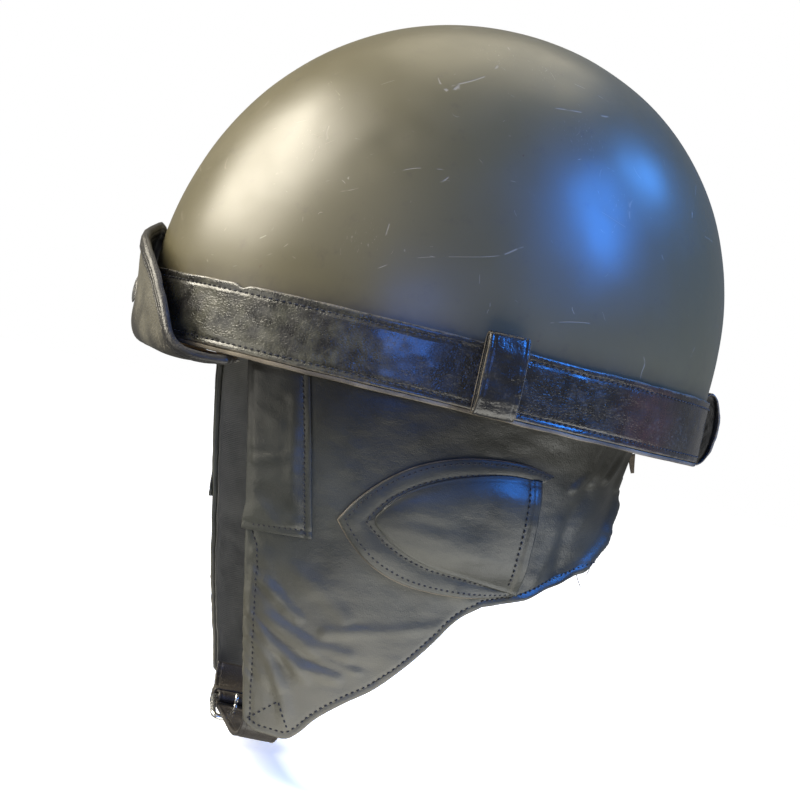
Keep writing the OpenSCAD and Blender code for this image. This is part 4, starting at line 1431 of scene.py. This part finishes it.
def build_strap_holes():
    rim = [(0.01, 0.04), (1.25, 0.04), (1.7, 0.18), (2.0, 0.12), (2.05, -0.1), (0.01, -0.1)]
    for k, x in HOLES:
        hole = lathe(f"strap_hole_{k}", rim, (x, STRAP_Y, STRAP_Z - 1.0), (0, 0, -1), THREAD, 24)
        finish_piece(hole, "chin_strap", "strap_leather")


def build_chape():
    """The short strap folded round the buckle's bar."""
    end_z = 7 + FLAP_TIP_Z
    end = (-(float(inner_x(end_z)) - 4), end_z)
    line = bezier((TAIL_X, BAR[1] + 0.2), (end[0] + 1, BAR[1] + 1), end, np.linspace(0, 1, 30))
    top = np.concatenate([[(BAR[0] - 1.0, BAR[1] + 2.05), (BAR[0] - 5, BAR[1] + 1.6)], line + [0, 0.75]])
    turn = np.linspace(math.pi / 2, -math.pi / 2, 12)
    nose = BAR + joined(2.05 * np.cos(turn), 2.05 * np.sin(turn))
    under = np.concatenate([[(BAR[0] - 5, BAR[1] - 1.3), (TAIL_X + 2, BAR[1] - 0.7)],
                            line[1:12] + [0, -0.75]])
    fold = resampled(np.concatenate([top[::-1], nose, under]), 0.9)
    section = strap_section(STRAP_WIDTH, CHAPE_WALL)
    chape = sweep("buckle_chape_leather", in_plane(fold), section, [0, 1, 0], STRAP)
    finish_piece(chape, "chin_strap", "strap_leather", "buckle_chape")


def build_strap_keeper():
    low, high = STRAP_Z - 1.3, BAR[1] + 2.0
    loop = rounded([(-9.4, low), (9.4, low), (9.4, high), (-9.4, high)], 1.2, 1.0)
    loop = loop + unit(loop - [0, (low + high) / 2]) * 0.7
    path = joined(TAIL_X + 6.0, STRAP_Y + loop[:, 0], loop[:, 1])
    keeper = sweep("strap_keeper_leather", path, strap_section(6, 1.3, False), [1, 0, 0], STRAP,
                   closed=True)
    finish_piece(keeper, "chin_strap", "strap_leather", "strap_keeper")


def build_buckle():
    """The wire frame and the prong round its bar."""
    reach = FAR - BAR
    ahead = unit(reach)
    long = np.linalg.norm(reach)
    run, across = rounded([(0, -FRAME_HALF), (long, -FRAME_HALF), (long, FRAME_HALF), (0, FRAME_HALF)],
                          3.2, 1.0).T
    centre = joined(BAR[0] + ahead[0] * run, STRAP_Y + across, BAR[1] + ahead[1] * run)
    wire = sweep("buckle_frame_visual", centre, circle(WIRE_RADIUS, 16), [-ahead[1], 0, ahead[0]], STEEL,
                 closed=True)
    finish_piece(wire, "chin_strap", "buckle_steel", "buckle_frame")

    turn = np.linspace(3.6, -0.9, 16)
    eye = BAR + joined(PRONG_EYE * np.cos(turn), PRONG_EYE * np.sin(turn))
    level = FAR[1] - 2.6
    arm = bezier(BAR + [2.6, -2.4], (BAR[0] + 4.2, level), (BAR[0] + 8, level), np.linspace(0, 1, 10))
    prong = resampled(np.concatenate([eye, arm, [FAR + [1.2, -2.2]]]), 0.7)
    taper = 1 - 0.25 * smooth(len(prong) * 0.6, len(prong), np.arange(len(prong)))
    pin = sweep("buckle_prong_visual", in_plane(prong), circle(PRONG_RADIUS), [0, 1, 0], STEEL,
                scale=taper)
    finish_piece(pin, "prong", "buckle_steel", "buckle_prong")


def build_strap():
    build_chin_strap()
    build_strap_holes()
    build_chape()
    build_strap_keeper()
    build_buckle()


build_shell()
build_band()
build_rim_binding()
for keeper in KEEPERS:
    build_keeper(*keeper)
build_peak()
build_harness()
for which in NAMES:
    for build in (build_curtain, build_lining, build_hem_stitching, build_front_panel, build_ear):
        build(which)
build_neck_strip()
build_torn_tag()
build_loose_threads()
build_strap()


# ---------------------------------------------------------------- floor, light and camera

def build_stage():
    """A pale floor that shows soft shadows near the helmet and turns as bright as the wall far off."""
    bpy.ops.mesh.primitive_circle_add(vertices=96, radius=6, fill_type="NGON", location=(0, 0, FLOOR_Z))
    floor = bpy.context.object
    floor.name = "floor"
    f = Finish("pale_floor", Roughness=0.9)
    f.place = f.add("ShaderNodeTexCoord", {}, "Object")
    f.set("Base Color", f.blend(f.noise(0.8, 3), (0.86, 0.86, 0.85), (0.9, 0.9, 0.89)))
    f.set("Emission Color", (1.0, 1.0, 1.0))
    apart = f.add("ShaderNodeVectorMath", {0: f.place}, "Value", operation="LENGTH")
    f.set("Emission Strength", f.range(apart, 0.15, 1.1, 0.45, 1.0))
    floor.data.materials.append(f.material)
    floor.visible_diffuse = False
    floor.visible_glossy = False
    floor.visible_shadow = False


# Name, direction, distance, width, height, power, colour and, for some, the point it shines at
LIGHTS = [
    ("key", (-0.12, -0.86, 0.50), 1.5, 1.1, 1.0, 54, (1.0, 0.93, 0.78)),
    ("overhead", (-0.35, 0.05, 1.0), 1.6, 1.2, 1.2, 10, (1.0, 0.90, 0.68)),
    ("window", (0.56, 0.60, 0.57), 1.5, 0.36, 0.66, 28, (0.03, 0.25, 1.0)),
    ("far_window", (0.06, 0.72, 0.69), 1.6, 0.28, 0.3, 10, (0.05, 0.30, 1.0)),
    ("low_window", (0.97, -0.22, 0.05), 1.7, 0.5, 0.25, 4.5, (0.06, 0.25, 1.0)),
    ("fill", (0.70, -0.50, 0.42), 1.8, 0.9, 1.0, 2.5, (1.0, 0.95, 0.84)),
    ("table", (0.62, 0.10, -0.78), 0.42, 0.5, 0.6, 2.9, (1.0, 0.97, 0.88), (0.05, -0.01, -0.15)),
    ("wall", (0.42, 0.75, -0.60), 0.7, 0.5, 0.5, 3.2, (0.95, 0.95, 0.90), (0.05, 0.08, -0.05)),
    ("table_front", (0.25, -0.95, -0.25), 1.0, 0.6, 0.6, 2.5, (1.0, 0.96, 0.86), (0.0, -0.12, -0.03)),
]


def area_light(name, direction, distance, width, height, power, colour, aim=(0, 0, 0.06)):
    """A soft light that shines at a point of the helmet from a direction."""
    data = bpy.data.lights.new(name, "AREA")
    data.shape = "RECTANGLE"
    data.size, data.size_y = width, height
    data.energy = power
    data.color = colour
    light = bpy.data.objects.new(name, data)
    bpy.context.scene.collection.objects.link(light)
    away = Vector(direction).normalized()
    light.location = away * distance + Vector(aim)
    light.rotation_euler = (-away).to_track_quat("-Z", "Y").to_euler()
    light.visible_camera = False


def build_light():
    world = bpy.data.worlds.new("studio")
    bpy.context.scene.world = world
    world.use_nodes = True
    tree = world.node_tree
    background = tree.nodes["Background"]
    background.inputs["Color"].default_value = (1.0, 1.0, 1.0, 1)
    background.inputs["Strength"].default_value = 0.2
    seen = tree.nodes.new("ShaderNodeBackground")
    seen.inputs["Color"].default_value = (1.0, 1.0, 1.0, 1)
    path = tree.nodes.new("ShaderNodeLightPath")
    choice = tree.nodes.new("ShaderNodeMixShader")
    tree.links.new(path.outputs["Is Camera Ray"], choice.inputs[0])
    tree.links.new(background.outputs[0], choice.inputs[1])
    tree.links.new(seen.outputs[0], choice.inputs[2])
    tree.links.new(choice.outputs[0], tree.nodes["World Output"].inputs["Surface"])

    for light in LIGHTS:
        area_light(*light)


CAMERA_DISTANCE = 0.95


def build_camera():
    azimuth, elevation, roll = (math.radians(v) for v in (78, 0.6, 13.7))
    target = Vector((0, -0.0083, -0.0042))
    towards = Vector((math.sin(azimuth) * math.cos(elevation), -math.cos(azimuth) * math.cos(elevation),
                      math.sin(elevation)))
    right = (-towards).cross(Vector((0, 0, 1))).normalized()
    up = right.cross(-towards)
    turned_right = right * math.cos(roll) + up * math.sin(roll)
    turned_up = up * math.cos(roll) - right * math.sin(roll)
    data = bpy.data.cameras.new("camera")
    data.sensor_width = 36
    data.lens = 90.5
    camera = bpy.data.objects.new("camera", data)
    bpy.context.scene.collection.objects.link(camera)
    spot = target + towards * CAMERA_DISTANCE
    camera.matrix_world = Matrix([[turned_right[k], turned_up[k], towards[k], spot[k]] for k in range(3)]
                                 + [[0, 0, 0, 1]])
    bpy.context.scene.camera = camera


build_stage()
build_light()
build_camera()
bpy.context.scene.view_settings.view_transform = "Standard"

bpy.context.view_layer.update()
